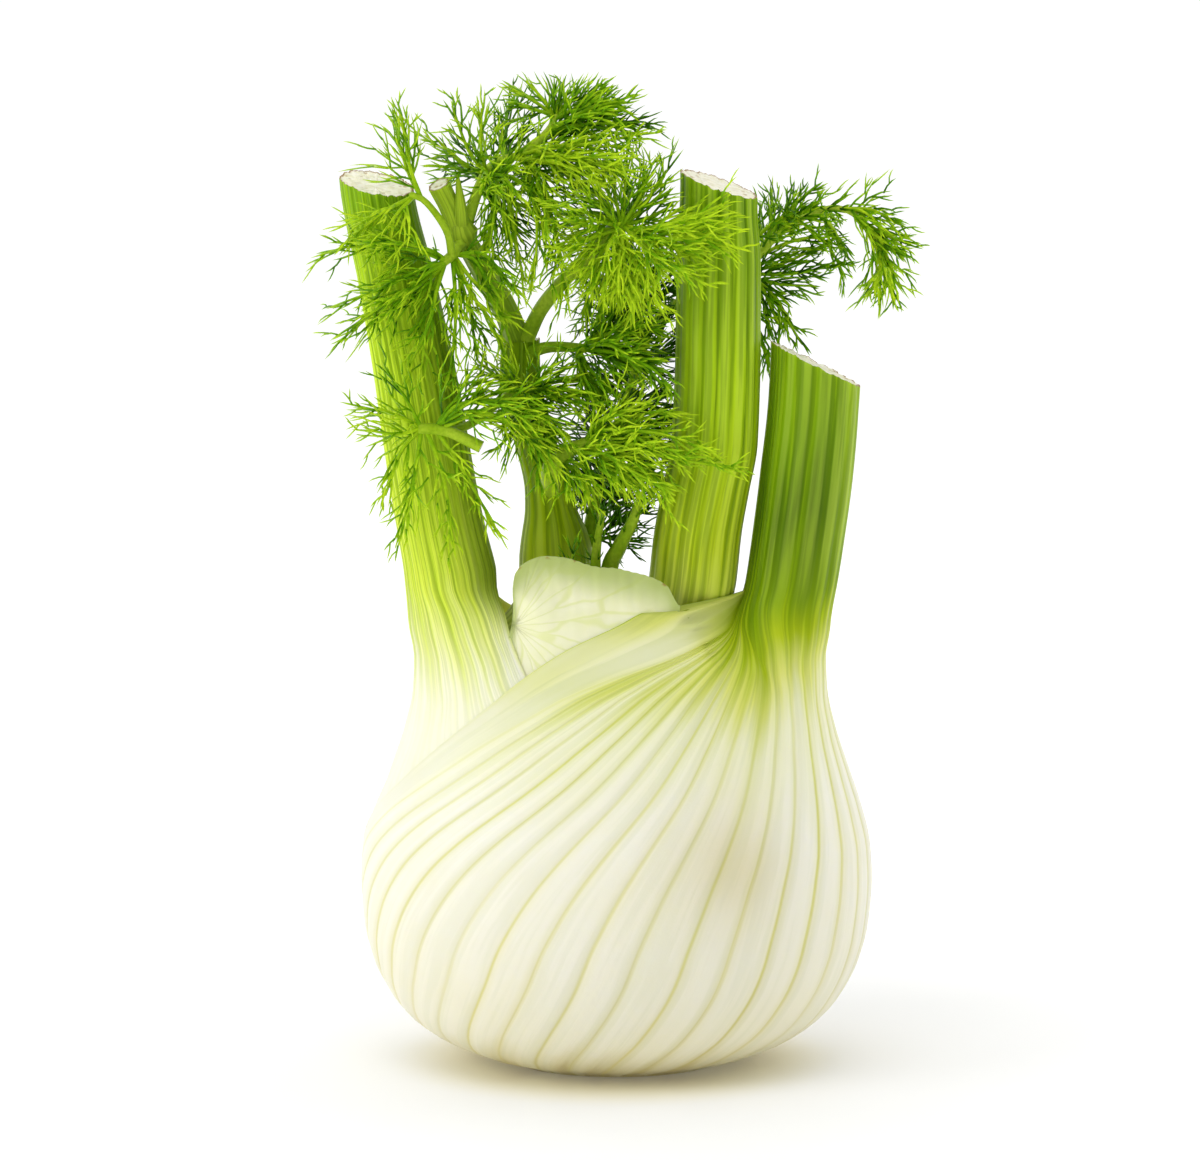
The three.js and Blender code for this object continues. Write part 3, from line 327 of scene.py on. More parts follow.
class Wiring:
    """Adds and links the nodes of one material or world."""

    def __init__(self, tree: bpy.types.NodeTree) -> None:
        """Starts from an empty tree."""
        self.tree = tree
        tree.nodes.clear()

    def add(self, kind: str, **settings: object) -> bpy.types.Node:
        """Adds a node and sets its own options.

        Args:
            kind: The node's type.
            settings: Its options by name.

        Returns:
            The node.
        """
        node = self.tree.nodes.new(kind)
        for name, value in settings.items():
            setattr(node, name, value)
        return node

    def feed(self, target: bpy.types.NodeSocket, value: object) -> None:
        """Links a socket to another, or sets it to a number or colour.

        Args:
            target: The socket to feed.
            value: Another socket, or what to set it to.
        """
        if isinstance(value, bpy.types.NodeSocket):
            self.tree.links.new(value, target)
        elif isinstance(value, tuple) and len(value) == 3 and target.type == "RGBA":
            target.default_value = (*value, 1.0)
        else:
            target.default_value = value

    def field(self, name: str, output: str = "Fac") -> bpy.types.NodeSocket:
        """Reads one of the mesh's own fields."""
        return self.add("ShaderNodeAttribute", attribute_name=name).outputs[output]

    def maths(self, operation: str, first: object, second: object = 0.0) -> bpy.types.NodeSocket:
        """Works out one operation on two numbers.

        Args:
            operation: Which operation.
            first: The first number.
            second: The second number.

        Returns:
            The result.
        """
        node = self.add("ShaderNodeMath", operation=operation)
        self.feed(node.inputs[0], first)
        self.feed(node.inputs[1], second)
        return node.outputs[0]

    def times(self, first: object, second: object) -> bpy.types.NodeSocket:
        """Multiplies two numbers."""
        return self.maths("MULTIPLY", first, second)

    def place(self) -> bpy.types.NodeSocket:
        """Gives the point in the piece's own coordinates, in metres."""
        return self.add("ShaderNodeTexCoord").outputs["Object"]

    def spread(
        self, value: object, low: float, high: float, to: tuple[float, float],
    ) -> bpy.types.NodeSocket:
        """Eases a number from low and high onto another range.

        Args:
            value: The number.
            low: Where the easing starts.
            high: Where it ends.
            to: What those two turn into.

        Returns:
            The eased number.
        """
        node = self.add("ShaderNodeMapRange", interpolation_type="SMOOTHSTEP")
        for name, number in zip(("From Min", "From Max", "To Min", "To Max"), (low, high, *to)):
            node.inputs[name].default_value = number
        self.feed(node.inputs["Value"], value)
        return node.outputs["Result"]

    def stretched(self, vector: object, scale: Point) -> bpy.types.NodeSocket:
        """Scales a vector along its three directions.

        Args:
            vector: The vector.
            scale: The three scales.

        Returns:
            The vector.
        """
        node = self.add("ShaderNodeVectorMath", operation="MULTIPLY")
        self.feed(node.inputs[0], vector)
        node.inputs[1].default_value = scale
        return node.outputs[0]

    def noise(self, vector: object, scale: float, detail: float = 2.0) -> bpy.types.NodeSocket:
        """Gives soft noise of about 0.3 to 0.7.

        Args:
            vector: Where to read it.
            scale: How fine it is.
            detail: How many finer layers it has.

        Returns:
            The noise.
        """
        node = self.add("ShaderNodeTexNoise")
        self.feed(node.inputs["Vector"], vector)
        node.inputs["Scale"].default_value = scale
        node.inputs["Detail"].default_value = detail
        return node.outputs["Fac"]

    def cells(self, vector: object, scale: float, feature: str, output: str) -> bpy.types.NodeSocket:
        """Gives a cell pattern's distance or colour.

        Args:
            vector: Where to read it.
            scale: How fine it is.
            feature: Which distance.
            output: Which output.

        Returns:
            The pattern.
        """
        node = self.add("ShaderNodeTexVoronoi", feature=feature)
        self.feed(node.inputs["Vector"], vector)
        node.inputs["Scale"].default_value = scale
        return node.outputs[output]

    def ramp(self, value: object, stops: list[tuple[float, Colour]]) -> bpy.types.NodeSocket:
        """Turns a number into a colour that runs through the stops.

        Args:
            value: The number, 0 to 1.
            stops: Places along the run and their colours.

        Returns:
            The colour.
        """
        node = self.add("ShaderNodeValToRGB")
        elements = node.color_ramp.elements
        while len(elements) < len(stops):
            elements.new(0.5)
        for element, (place, colour) in zip(elements, stops):
            element.position = place
            element.color = (*colour, 1.0)
        self.feed(node.inputs[0], value)
        return node.outputs["Color"]

    def mixed(self, share: object, first: object, second: object, way: str = "MIX") -> bpy.types.NodeSocket:
        """Mixes two colours.

        Args:
            share: How much of the second.
            first: The first colour.
            second: The second colour.
            way: How they mix.

        Returns:
            The colour.
        """
        node = self.add("ShaderNodeMix", data_type="RGBA", blend_type=way)
        self.feed(node.inputs[0], share)
        self.feed(node.inputs[6], first)
        self.feed(node.inputs[7], second)
        return node.outputs[2]

    def bump(self, height: object, depth: float) -> bpy.types.NodeSocket:
        """Turns a height of 0 to 1 into a bumped normal, depth in mm.

        Args:
            height: The height.
            depth: How deep 1 is, in mm.

        Returns:
            The normal.
        """
        node = self.add("ShaderNodeBump")
        node.inputs["Distance"].default_value = depth * MM
        self.feed(node.inputs["Height"], height)
        return node.outputs["Normal"]

    def surface(self, **sockets: object) -> None:
        """Ends a material with one shader, its sockets named with underscores for spaces.

        Args:
            sockets: What each of the shader's sockets takes.
        """
        shader = self.add("ShaderNodeBsdfPrincipled")
        for name, value in sockets.items():
            self.feed(shader.inputs[name.replace("_", " ")], value)
        output = self.add("ShaderNodeOutputMaterial")
        self.tree.links.new(shader.outputs[0], output.inputs["Surface"])


def new_material(name: str) -> tuple[bpy.types.Material, Wiring]:
    """Makes an empty material and its wiring.

    Args:
        name: The material's name.

    Returns:
        The material and its wiring.
    """
    material = bpy.data.materials.new(name)
    material.use_nodes = True
    return material, Wiring(material.node_tree)


@dataclass(frozen=True)
class WaxySkin:
    """The skin of a leaf: its colour runs from root to tip, with a finer line along each rib.

    Stops are (height in mm, colour). The side colour is painted side shading that takes over on one side of
    a stalk: painted rim light by default, painted shade where a leaf gives a dark one. The ridge's lightens
    the strips between the ribs higher up. Warming is what a spot of painted shade multiplies the colour by.
    """

    name: str
    between_ribs: tuple[tuple[float, Colour], ...]
    on_ribs: tuple[tuple[float, Colour], ...]
    # Painted side shading: by default a lighter green, a painted rim light on one side of a stalk.
    flank: Colour = srgb(180, 210, 52)
    painted_side_shading_share: float = 0.62
    ridge: Colour = srgb(208, 230, 100)
    warming: Colour = (0.8, 0.74, 0.5)
    # How strongly the spot of painted shade darkens and warms the colour.
    painted_shade_spot_share: float = 0.7
    line_width: float = 0.75
    line_strength: float = 0.85
    gloss_roughness: float = 0.36

    def material(self) -> bpy.types.Material:
        """Makes the material.

        Returns:
            The material.
        """
        made, wiring = new_material(self.name)
        grain = wiring.field("grain", "Vector")
        rise = wiring.field("rise")
        streak = wiring.noise(wiring.stretched(grain, (1.0, 1.0, 0.35)), 1.1, 3.0)
        fine = wiring.noise(wiring.stretched(grain, (1.0, 1.0, 0.14)), 3.6, 4.0)
        drift = wiring.times(wiring.maths("SUBTRACT", streak, 0.5), 0.12)
        reach = wiring.maths("ADD", rise, drift)
        field_colour = wiring.ramp(reach, [(mm / TALLEST, colour) for mm, colour in self.between_ribs])
        line_colour = wiring.ramp(reach, [(mm / TALLEST, colour) for mm, colour in self.on_ribs])
        line = wiring.spread(wiring.field("vein"), 0.12, self.line_width, (self.line_strength, 0.0))
        line = wiring.times(line, wiring.field("strength"))
        halo = wiring.spread(wiring.field("vein"), 0.2, 2.6, (0.3, 0.0))
        halo = wiring.times(halo, wiring.field("strength"))
        colour = wiring.mixed(halo, field_colour, line_colour)
        colour = wiring.mixed(line, colour, line_colour)
        stripes = wiring.spread(fine, 0.42, 0.58, (0.0, 1.0))
        # Painted shade: a soft spot on the belly made darker and warmer, where less light falls.
        warm = wiring.mixed(1.0, colour, self.warming, "MULTIPLY")
        colour = wiring.mixed(wiring.times(wiring.field("blush"), self.painted_shade_spot_share), colour, warm)
        # Painted side shading: one side of a stalk takes a colour that stands in for how light falls there
        # (rim light on the right leaf's stalk, shade on the left leaf's).
        flank = wiring.times(wiring.field("flank"), self.painted_side_shading_share)
        colour = wiring.mixed(flank, colour, self.flank)
        striping = wiring.spread(rise, 0.32, 0.52, (0.08, 0.68))
        pale = wiring.mixed(stripes, (0.44, 0.54, 0.28), (1.06, 1.06, 1.1))
        colour = wiring.mixed(striping, colour, wiring.mixed(1.0, colour, pale, "MULTIPLY"))
        ridge = wiring.spread(wiring.field("vein"), 0.55, 1.05, (0.0, 0.34))
        ridge = wiring.times(ridge, wiring.spread(rise, 0.42, 0.52, (0.0, 1.0)))
        ridge = wiring.times(ridge, fine)
        colour = wiring.mixed(ridge, colour, self.ridge)
        place = wiring.place()
        mottle = wiring.spread(wiring.noise(place, 38.0, 4.0), 0.42, 0.68, (0.0, 0.22))
        colour = wiring.mixed(mottle, colour, wiring.mixed(1.0, colour, (0.97, 0.94, 0.74), "MULTIPLY"))
        specks = wiring.noise(place, 900.0, 2.0)
        roughness = wiring.spread(fine, 0.3, 0.7, (self.gloss_roughness, self.gloss_roughness + 0.14))
        specks = wiring.times(specks, 0.2)
        height = wiring.maths("ADD", wiring.times(fine, 0.8), specks)
        wiring.surface(
            Base_Color=colour,
            Roughness=roughness,
            Normal=wiring.bump(height, 0.16),
            Subsurface_Weight=0.22,
            Subsurface_Radius=(1.0, 0.9, 0.45),
            Subsurface_Scale=3.2 * MM,
            Specular_IOR_Level=0.18,
            Specular_Tint=(1.0, 1.0, 0.45),
        )
        return made


@dataclass(frozen=True)
class CutPith:
    """A stalk's cut end: cream pith with a ring of darker bundles and a dry rim."""

    name: str
    pith: Colour
    bundle: Colour
    rim: Colour

    def material(self) -> bpy.types.Material:
        """Makes the material.

        Returns:
            The material.
        """
        made, wiring = new_material(self.name)
        place = wiring.place()
        inward = wiring.field("inward")
        flat = wiring.stretched(place, (1.0, 1.0, 0.25))
        near = wiring.cells(flat, 560.0, "F1", "Distance")
        dots = wiring.spread(near, 0.12, 0.34, (0.75, 0.0))
        ring = wiring.times(
            wiring.spread(inward, 0.03, 0.1, (0.0, 1.0)), wiring.spread(inward, 0.22, 0.6, (1.0, 0.22)),
        )
        crumb = wiring.noise(place, 700.0, 4.0)
        colour = wiring.mixed(wiring.spread(crumb, 0.42, 0.66, (0.0, 0.5)), self.pith, (0.72, 0.7, 0.4))
        colour = wiring.mixed(wiring.times(dots, ring), colour, self.bundle)
        ragged = wiring.maths("ADD", inward, wiring.times(wiring.noise(place, 420.0, 3.0), 0.09))
        colour = wiring.mixed(wiring.spread(ragged, 0.06, 0.12, (0.9, 0.0)), colour, self.rim)
        wiring.surface(
            Base_Color=colour,
            Roughness=0.62,
            Normal=wiring.bump(wiring.maths("ADD", crumb, near), 0.3),
            Subsurface_Weight=0.18,
            Subsurface_Radius=(1.0, 0.9, 0.55),
            Subsurface_Scale=2.0 * MM,
        )
        return made


@dataclass(frozen=True)
class ThinHood:
    """The hood's membrane: pale, see-through looking at its dry edge, with a fan of fine veins."""

    name: str
    body: Colour
    edge: Colour
    vein: Colour
    nick: Colour

    def material(self) -> bpy.types.Material:
        """Makes the material.

        Returns:
            The material.
        """
        made, wiring = new_material(self.name)
        fan = wiring.field("grain", "Vector")
        edge = wiring.field("edge")
        place = wiring.place()
        wander = wiring.add("ShaderNodeVectorMath", operation="MULTIPLY_ADD")
        bent = wiring.add("ShaderNodeTexNoise")
        wiring.feed(bent.inputs["Vector"], place)
        bent.inputs["Scale"].default_value = 120.0
        wiring.feed(wander.inputs[0], bent.outputs["Color"])
        wander.inputs[1].default_value = (0.9, 0.9, 0.9)
        wiring.feed(wander.inputs[2], fan)
        net = wiring.cells(wander.outputs[0], 0.62, "DISTANCE_TO_EDGE", "Distance")
        lines = wiring.spread(net, 0.01, 0.07, (0.42, 0.0))
        tint = wiring.spread(wiring.noise(place, 160.0, 3.0), 0.35, 0.7, (0.0, 0.55))
        colour = wiring.mixed(tint, self.body, wiring.mixed(1.0, self.body, (0.93, 0.95, 0.78), "MULTIPLY"))
        colour = wiring.mixed(lines, colour, self.vein)
        ragged = wiring.maths("ADD", edge, wiring.times(wiring.noise(place, 240.0, 3.0), 1.6))
        colour = wiring.mixed(wiring.spread(ragged, 1.0, 9.0, (0.95, 0.0)), colour, self.edge)
        nicks = wiring.spread(wiring.noise(place, 330.0, 1.0), 0.6, 0.66, (0.0, 0.9))
        nicks = wiring.times(nicks, wiring.spread(edge, 0.1, 0.7, (1.0, 0.0)))
        colour = wiring.mixed(nicks, colour, self.nick)
        wiring.surface(
            Base_Color=colour,
            Roughness=wiring.spread(wiring.noise(place, 300.0), 0.3, 0.7, (0.3, 0.46)),
            Normal=wiring.bump(wiring.spread(net, 0.0, 0.14, (0.0, 1.0)), 0.06),
            Subsurface_Weight=0.25,
            Subsurface_Radius=(1.0, 0.95, 0.5),
            Subsurface_Scale=3.0 * MM,
            Specular_IOR_Level=0.2,
        )
        return made


@dataclass(frozen=True)
class FrondGreen:
    """The green of threads or of the stems that bear them: painted shade inside the frond, painted light at
    its tips.
    """

    name: str
    stops: tuple[tuple[float, Colour], ...]
    roughness: float

    def material(self) -> bpy.types.Material:
        """Makes the material.

        Returns:
            The material.
        """
        made, wiring = new_material(self.name)
        place = wiring.place()
        patch = wiring.times(wiring.maths("SUBTRACT", wiring.noise(place, 190.0, 2.0), 0.5), 0.7)
        tone = wiring.maths("ADD", wiring.field("tone"), patch)
        fine = wiring.noise(place, 1400.0, 2.0)
        colour = wiring.ramp(tone, list(self.stops))
        pale = wiring.mixed(wiring.spread(fine, 0.35, 0.65, (0.0, 1.0)), (0.8, 0.85, 0.7), (1.0, 1.0, 1.0))
        wiring.surface(
            Base_Color=wiring.mixed(1.0, colour, pale, "MULTIPLY"),
            Roughness=wiring.spread(fine, 0.3, 0.7, (self.roughness, self.roughness + 0.12)),
            Normal=wiring.bump(fine, 0.05),
            Subsurface_Weight=0.12,
            Subsurface_Radius=(0.7, 1.0, 0.2),
            Subsurface_Scale=0.4 * MM,
            Specular_IOR_Level=0.2,
            Specular_Tint=(0.9, 1.0, 0.3),
        )
        return made


@dataclass(frozen=True)
class RootCut:
    """The trimmed root end: dry, corky and cream brown."""

    name: str
    light: Colour
    dark: Colour

    def material(self) -> bpy.types.Material:
        """Makes the material.

        Returns:
            The material.
        """
        made, wiring = new_material(self.name)
        place = wiring.place()
        crumb = wiring.noise(place, 420.0, 5.0)
        rings = wiring.noise(wiring.stretched(place, (1.0, 1.0, 3.0)), 160.0, 3.0)
        colour = wiring.mixed(wiring.spread(crumb, 0.36, 0.68, (0.0, 1.0)), self.dark, self.light)
        colour = wiring.mixed(wiring.spread(rings, 0.4, 0.7, (0.0, 0.4)), colour, self.dark)
        wiring.surface(Base_Color=colour, Roughness=0.78, Normal=wiring.bump(crumb, 0.5))
        return made


class Finish(Enum):
    """Every finish of the fennel."""

    RIGHT_LEAF = WaxySkin(
        "right_leaf_skin",
        (
            # The lowest stops darken towards the foot: painted shade where the bulb meets the table.
            (0, srgb(214, 202, 158)), (2.5, srgb(232, 225, 190)), (9, srgb(243, 239, 216)),
            (28, srgb(246, 243, 226)), (54, srgb(248, 246, 231)),
            (71, srgb(243, 243, 206)), (80, srgb(224, 228, 122)), (87, srgb(182, 200, 26)),
            (94, srgb(132, 164, 2)), (110, srgb(86, 122, 0)), (124, srgb(110, 150, 2)),
            (150, srgb(144, 184, 10)),
        ),
        (
            (0, srgb(220, 210, 146)), (40, srgb(222, 219, 130)), (74, srgb(208, 213, 80)),
            (88, srgb(166, 194, 24)), (102, srgb(132, 168, 6)), (150, srgb(158, 192, 24)),
        ),
    )
    LEFT_LEAF = WaxySkin(
        "left_leaf_skin",
        (
            # The lowest stops darken towards the foot: painted shade where the bulb meets the table.
            (0, srgb(240, 234, 208)), (50, srgb(248, 246, 229)), (74, srgb(248, 247, 222)),
            (84, srgb(238, 242, 168)), (95, srgb(228, 242, 88)), (114, srgb(222, 244, 60)),
            (146, srgb(206, 238, 40)), (160, srgb(172, 210, 28)), (172, srgb(150, 194, 22)),
        ),
        (
            (0, srgb(230, 224, 178)), (64, srgb(232, 238, 160)), (84, srgb(212, 228, 96)),
            (100, srgb(174, 206, 30)), (172, srgb(120, 166, 8)),
        ),
        # Painted shade on the stalk's side away from the light.
        flank=srgb(98, 134, 4),
    )
    REAR_LEAF = WaxySkin(
        "rear_leaf_skin",
        (
            (0, srgb(240, 235, 205)), (84, srgb(226, 232, 150)), (96, srgb(196, 212, 50)),
            (105, srgb(178, 202, 20)), (118, srgb(156, 184, 8)), (141, srgb(146, 180, 8)),
            (176, srgb(176, 206, 30)),
        ),
        (
            (0, srgb(232, 228, 180)), (97, srgb(180, 204, 24)), (112, srgb(134, 166, 4)),
            (176, srgb(146, 180, 10)),
        ),
    )
    CENTRE_LEAF = WaxySkin(
        "centre_leaf_skin",
        (
            (0, srgb(240, 235, 205)), (80, srgb(232, 238, 160)), (91, srgb(216, 226, 92)),
            (102, srgb(196, 214, 30)), (130, srgb(184, 218, 26)), (172, srgb(150, 190, 18)),
        ),
        (
            (0, srgb(232, 228, 180)), (91, srgb(184, 206, 40)), (112, srgb(140, 172, 4)),
            (172, srgb(92, 134, 0)),
        ),
    )
    HOOD = ThinHood(
        "hood_skin", srgb(250, 249, 208), srgb(176, 192, 108), srgb(222, 230, 124), srgb(150, 112, 44),
    )
    PITH = CutPith("cut_pith", srgb(250, 246, 226), srgb(176, 150, 92), srgb(138, 96, 38))
    THREADS = FrondGreen(
        "frond_threads",
        (
            (0.0, srgb(30, 72, 1)), (0.3, srgb(62, 116, 2)), (0.6, srgb(116, 172, 4)),
            (1.0, srgb(196, 228, 36)),
        ),
        0.42,
    )
    FROND_STEMS = FrondGreen(
        "frond_stems",
        ((0.0, srgb(90, 128, 4)), (0.4, srgb(142, 182, 10)), (1.0, srgb(200, 224, 70))),
        0.38,
    )
    ROOT = RootCut("root_cut", srgb(226, 214, 176), srgb(168, 146, 98))


MADE: dict[Finish, bpy.types.Material] = {}


def material_of(finish: Finish) -> bpy.types.Material:
    """Gives a finish's material, made once.

    Args:
        finish: The finish.

    Returns:
        Its material.
    """
    if finish not in MADE:
        MADE[finish] = finish.value.material()
    return MADE[finish]


# Leaves

MARGIN_THICKNESS = 0.3
MARGIN_TAPER = 30.0
UNDER_GAP = 0.2
HIDDEN_GAP = 1.0
SINK = 1.0  # how much deeper a leaf lies well beside another's margin than right by it
SINK_RUN = 22.0
BASE_START = 2.9
LINE_SHARES = np.array([0, 0.04, 0.09, 0.17, 0.3, 0.5, 0.7, 0.83, 0.91, 0.96])
CAP_SHARES = (0.035, 0.09, 0.18, 0.32, 0.5, 0.7, 0.88)
CUT_RUN = 14.0  # over this height the rows lean from level to the slant of the cut
CUT_DISH = 0.35  # how far the cut face is dished
RIB_WOBBLE = 0.07  # how far, in ribs, a rib wanders from its course
UNEVENNESS = 0.12
LINE_GROOVE_WIDTH = 0.75
FIELD_RELIEF = 0.34  # how much of the ribs' depth is the hollow at the edges of the fields between them
LINE_RELIEF = 0.34  # how much of it is the groove along each line
EARLY_GATHER = 9.0  # how much lower the ribs nearest the spine gather than the others
EARLY_SHARES = (0.56, 0.7)
EAR_PALING = 9.0  # how much lower on the leaf the ear's colours are from
NOTCH_SHADE_RISE = 4.0  # painted notch shade: how much higher up the leaf the band beside the ear takes its darker colours
ROW_STEP = 1.7
CLOSE_ROW_STEP = 0.55

HALF_WIDTH = Profile(
    (0, 21), (2, 28), (5, 35), (10, 41.6), (15, 45.2), (20, 47.6), (27, 49.4), (36, 50.1), (43, 49.7),
    (50, 48.1), (58, 45.5), (66, 42.9), (74, 41.2), (80, 41), (86, 42), (92, 42.9), (104, 44.5),
)
HALF_DEPTH = Profile(
    (0, 19), (2, 24.5), (5, 30), (10, 35.5), (15, 38.5), (20, 40.3), (27, 41.8), (36, 42.5), (43, 42),
    (50, 40.5), (58, 37.3), (66, 33), (74, 28), (80, 24.2), (86, 20.3), (92, 17), (104, 13.5),
)


def on_bulb(bearing: Array, height: Array, depth: Array) -> Array:
    """Gives points at bearings and heights, some depth under the bulb's surface.

    Args:
        bearing: The bearings.
        height: The heights.
        depth: The depths.

    Returns:
        Points in mm.
    """
    turn = np.radians(bearing)
    x = (HALF_WIDTH(height) - depth) * np.sin(turn)
    y = -(HALF_DEPTH(height) - depth) * np.cos(turn)
    return np.stack(np.broadcast_arrays(x, y, height), axis=-1)


@dataclass(frozen=True)
class Leaf:
    """One leaf, from its base to its cut stalk.

    The margins give the bearing of the base's two edges at each height, and ribs fan from the spine to
    both. Near the neck the first side's ribs gather to bearings and stalk angles of their own, by their
    share of the way to the spine. A stalk is its axis, its half sizes towards and across the spine, and
    how far its ribs reach round it. Crowding draws the second side's ribs towards their margin, and paling
    lowers the colours there. Past some angles, one side of a stalk takes a painted side shading colour:
    painted rim light on the right leaf's stalk, painted shade on the left leaf's. A tucked base lies that
    much deeper. An ear in front of the given bearings stays open between its own heights. The ribs show
    by the given share, and a spot of painted shade darkens and warms one place on the belly.
    """

    name: str
    slot: str
    finish: Finish
    spine: float
    start_margin: Profile
    end_margin: Profile
    ribs: tuple[int, int]
    inner_ribs: int
    wall: Profile
    neck: tuple[float, float]
    axis: tuple[Point, ...]
    towards: Profile
    across: Profile
    rib_reach: tuple[float, float]
    rib_depth: Profile
    first_row: float
    cut_height: float
    cut_slope: tuple[float, float]
    seed: int
    tuck: float = 0.0
    close_rows: tuple[float, float] = (0.0, 0.0)
    wrappers: tuple["Leaf", ...] = ()
    gathering: Profile = Profile((0, 0), (200, 0))
    gathered: Profile = Profile((0, 0), (1, 0))
    turned: Profile | None = None
    crowding: float = 0.0
    paling: float = 0.0
    # Where the painted side shading lies round the stalk, and between which heights.
    painted_side_shading_angles: tuple[float, float] = (998.0, 999.0)
    painted_side_shading_heights: tuple[float, float] = (93.0, 106.0)
    showing: Profile = Profile((0, 1), (200, 1))
    ear: tuple[float, float] = (0.0, 1.0)
    ear_bearings: tuple[float, float] = (-999.0, -998.0)
    # Bearing and height of a soft spot of painted shade on the belly.
    blush: tuple[float, float] = (-999.0, 0.0)

    def degrees_inside(self, bearing: Array, height: Array) -> Array:
        """Says how many degrees a bearing lies inside the base's nearer margin.

        Args:
            bearing: The bearing.
            height: The height.

        Returns:
            The degrees, below 0 outside the base.
        """
        start = self.start_margin(height)
        span = self.end_margin(height) - start
        past = np.mod(bearing - start, 360)
        return np.where(past <= span, np.minimum(past, span - past), -np.minimum(past - span, 360 - past))

    def thickness(self, bearing: Array, height: Array) -> Array:
        """Gives the base's thickness."""
        share = smoothstep(self.degrees_inside(bearing, height), 0, MARGIN_TAPER)
        return blend(MARGIN_THICKNESS, self.wall(height), share)

    def depth(self, bearing: Array, height: Array) -> Array:
        """Gives how deep the outer face lies, inside the leaves that wrap it."""
        return depth_under(self.wrappers, bearing, height) + self.tuck

    def axis_point(self, height: Array) -> Array:
        """Gives the points of the stalk's axis at some heights.

        Args:
            height: The heights.

        Returns:
            Points in mm.
        """
        x = Profile(*((p[2], p[0]) for p in self.axis))(height)
        y = Profile(*((p[2], p[1]) for p in self.axis))(height)
        return np.stack(np.broadcast_arrays(x, y, height), axis=-1)

    def closing(self, bearing: Array, height: Array) -> Array:
        """Says how far the base has closed into the stalk, 0 to 1.

        Args:
            bearing: Bearings on the bulb.
            height: Heights.

        Returns:
            The shares.
        """
        shut = smoothstep(bearing, *self.ear_bearings)
        low, high = (blend(ear, neck, shut) for ear, neck in zip(self.ear, self.neck))
        return smoothstep(height, low, high)

    def place(self, bearing: Array, angle: Array, height: Array, depth: Array, sunk: Array) -> Array:
        """Gives points of the leaf, on the bulb below its neck and on the stalk above it.

        Args:
            bearing: Bearing on the bulb.
            angle: Angle round the stalk, 0 at the spine.
            height: Height.
            depth: Depth under the bulb's surface.
            sunk: Depth of the grooves.

        Returns:
            Points in mm.
        """
        spine = math.radians(self.spine)
        outward = np.array([math.sin(spine), -math.cos(spine), 0])
        along = np.array([math.cos(spine), math.sin(spine), 0])
        turn = np.radians(angle)
        stalk = self.axis_point(height)
        stalk = stalk + ((self.towards(height) - sunk) * np.cos(turn))[..., None] * outward
        stalk = stalk + ((self.across(height) - sunk) * np.sin(turn))[..., None] * along
        return blend(on_bulb(bearing, height, depth + sunk), stalk, self.closing(bearing, height)[..., None])

    def heights(self) -> Array:
        """Gives the rows' heights, closer where the form turns quickly.

        Returns:
            The heights, as a column.
        """
        low = [0, 0.3, 0.7, 1.2, 2, 3, 4.2, 5.6, 7.2] if self.first_row < 1 else [self.first_row, 5, 7.2]
        middle = np.arange(9, self.cut_height - CUT_RUN, ROW_STEP)
        close = np.arange(*self.close_rows, CLOSE_ROW_STEP)
        middle = middle[(middle < self.close_rows[0]) | (middle > self.close_rows[1])]
        top = np.linspace(self.cut_height - CUT_RUN, self.cut_height, 14)
        return np.unique(np.concatenate([low, middle, close, top]))[:, None]

    def outer(self, height: Array) -> tuple[Array, dict[str, Array]]:
        """Makes the ribbed outer face.

        Args:
            height: The rows' heights, as a column.

        Returns:
            Points by row and column, and the fields that the skin's colour reads.
        """
        first, last = self.ribs
        ribs = (np.arange(-first, last)[:, None] + LINE_SHARES).ravel()
        past = np.append(ribs, last)[None]
        edge = np.minimum(past + first, last - past)
        wobble = RIB_WOBBLE * ripples(past * 0.3, height * 0.012, self.seed) * smoothstep(edge, 0, 3)
        bent = past + wobble
        start = self.start_margin(height)
        end = self.end_margin(height)
        near = np.clip(bent / first + 1, 0, 1)
        far = np.clip(bent / last, 0, 1)
        gathered = blend(start, self.gathered(near), np.clip(near * first, 0, 1))
        amount = self.gathering(height + EARLY_GATHER * smoothstep(near, *EARLY_SHARES))
        bearing = blend(blend(start, self.spine, near), gathered, amount)
        crowded = far * (1 + self.crowding - self.crowding * far)
        bearing = np.where(bent <= 0, bearing, blend(self.spine, end, crowded))
        angle = self.turned(near) if self.turned else blend(self.rib_reach[0], 0, near)
        angle = np.where(bent <= 0, angle, blend(0, self.rib_reach[1], far))
        height = np.broadcast_to(height, bearing.shape)
        depth = self.depth(bearing, height)
        bare = self.place(bearing, angle, height, depth, np.zeros_like(depth))
        steps = np.linalg.norm(np.diff(bare, axis=1), axis=2)
        length = np.concatenate([np.zeros((len(steps), 1)), np.cumsum(steps, axis=1)], axis=1)
        a_rib = len(LINE_SHARES)
        lines = length[:, ::a_rib]
        column = np.arange(length.shape[1])
        before = np.take(lines, np.minimum(column // a_rib, lines.shape[1] - 1), axis=1)
        after = np.take(lines, np.minimum(-(-column // a_rib), lines.shape[1] - 1), axis=1)
        vein = np.minimum(length - before, after - length)
        widths = np.diff(lines, axis=1)
        panels = np.minimum(column // a_rib, widths.shape[1] - 1)
        spacing = np.maximum(np.take(widths, panels, axis=1), 0.2)
        panel = 1 - np.sin(math.pi * np.clip(vein / spacing, 0, 0.5))
        line = np.exp(-((vein / LINE_GROOVE_WIDTH) ** 2))
        fade = smoothstep(edge, 0, 2.5)
        sunk = self.rib_depth(height) * fade * (FIELD_RELIEF * panel + LINE_RELIEF * line)
        sunk = sunk + UNEVENNESS * ripples(past * 0.4, height * 0.03, self.seed + 1) * fade
        points = self.place(bearing, angle, height, depth, sunk)
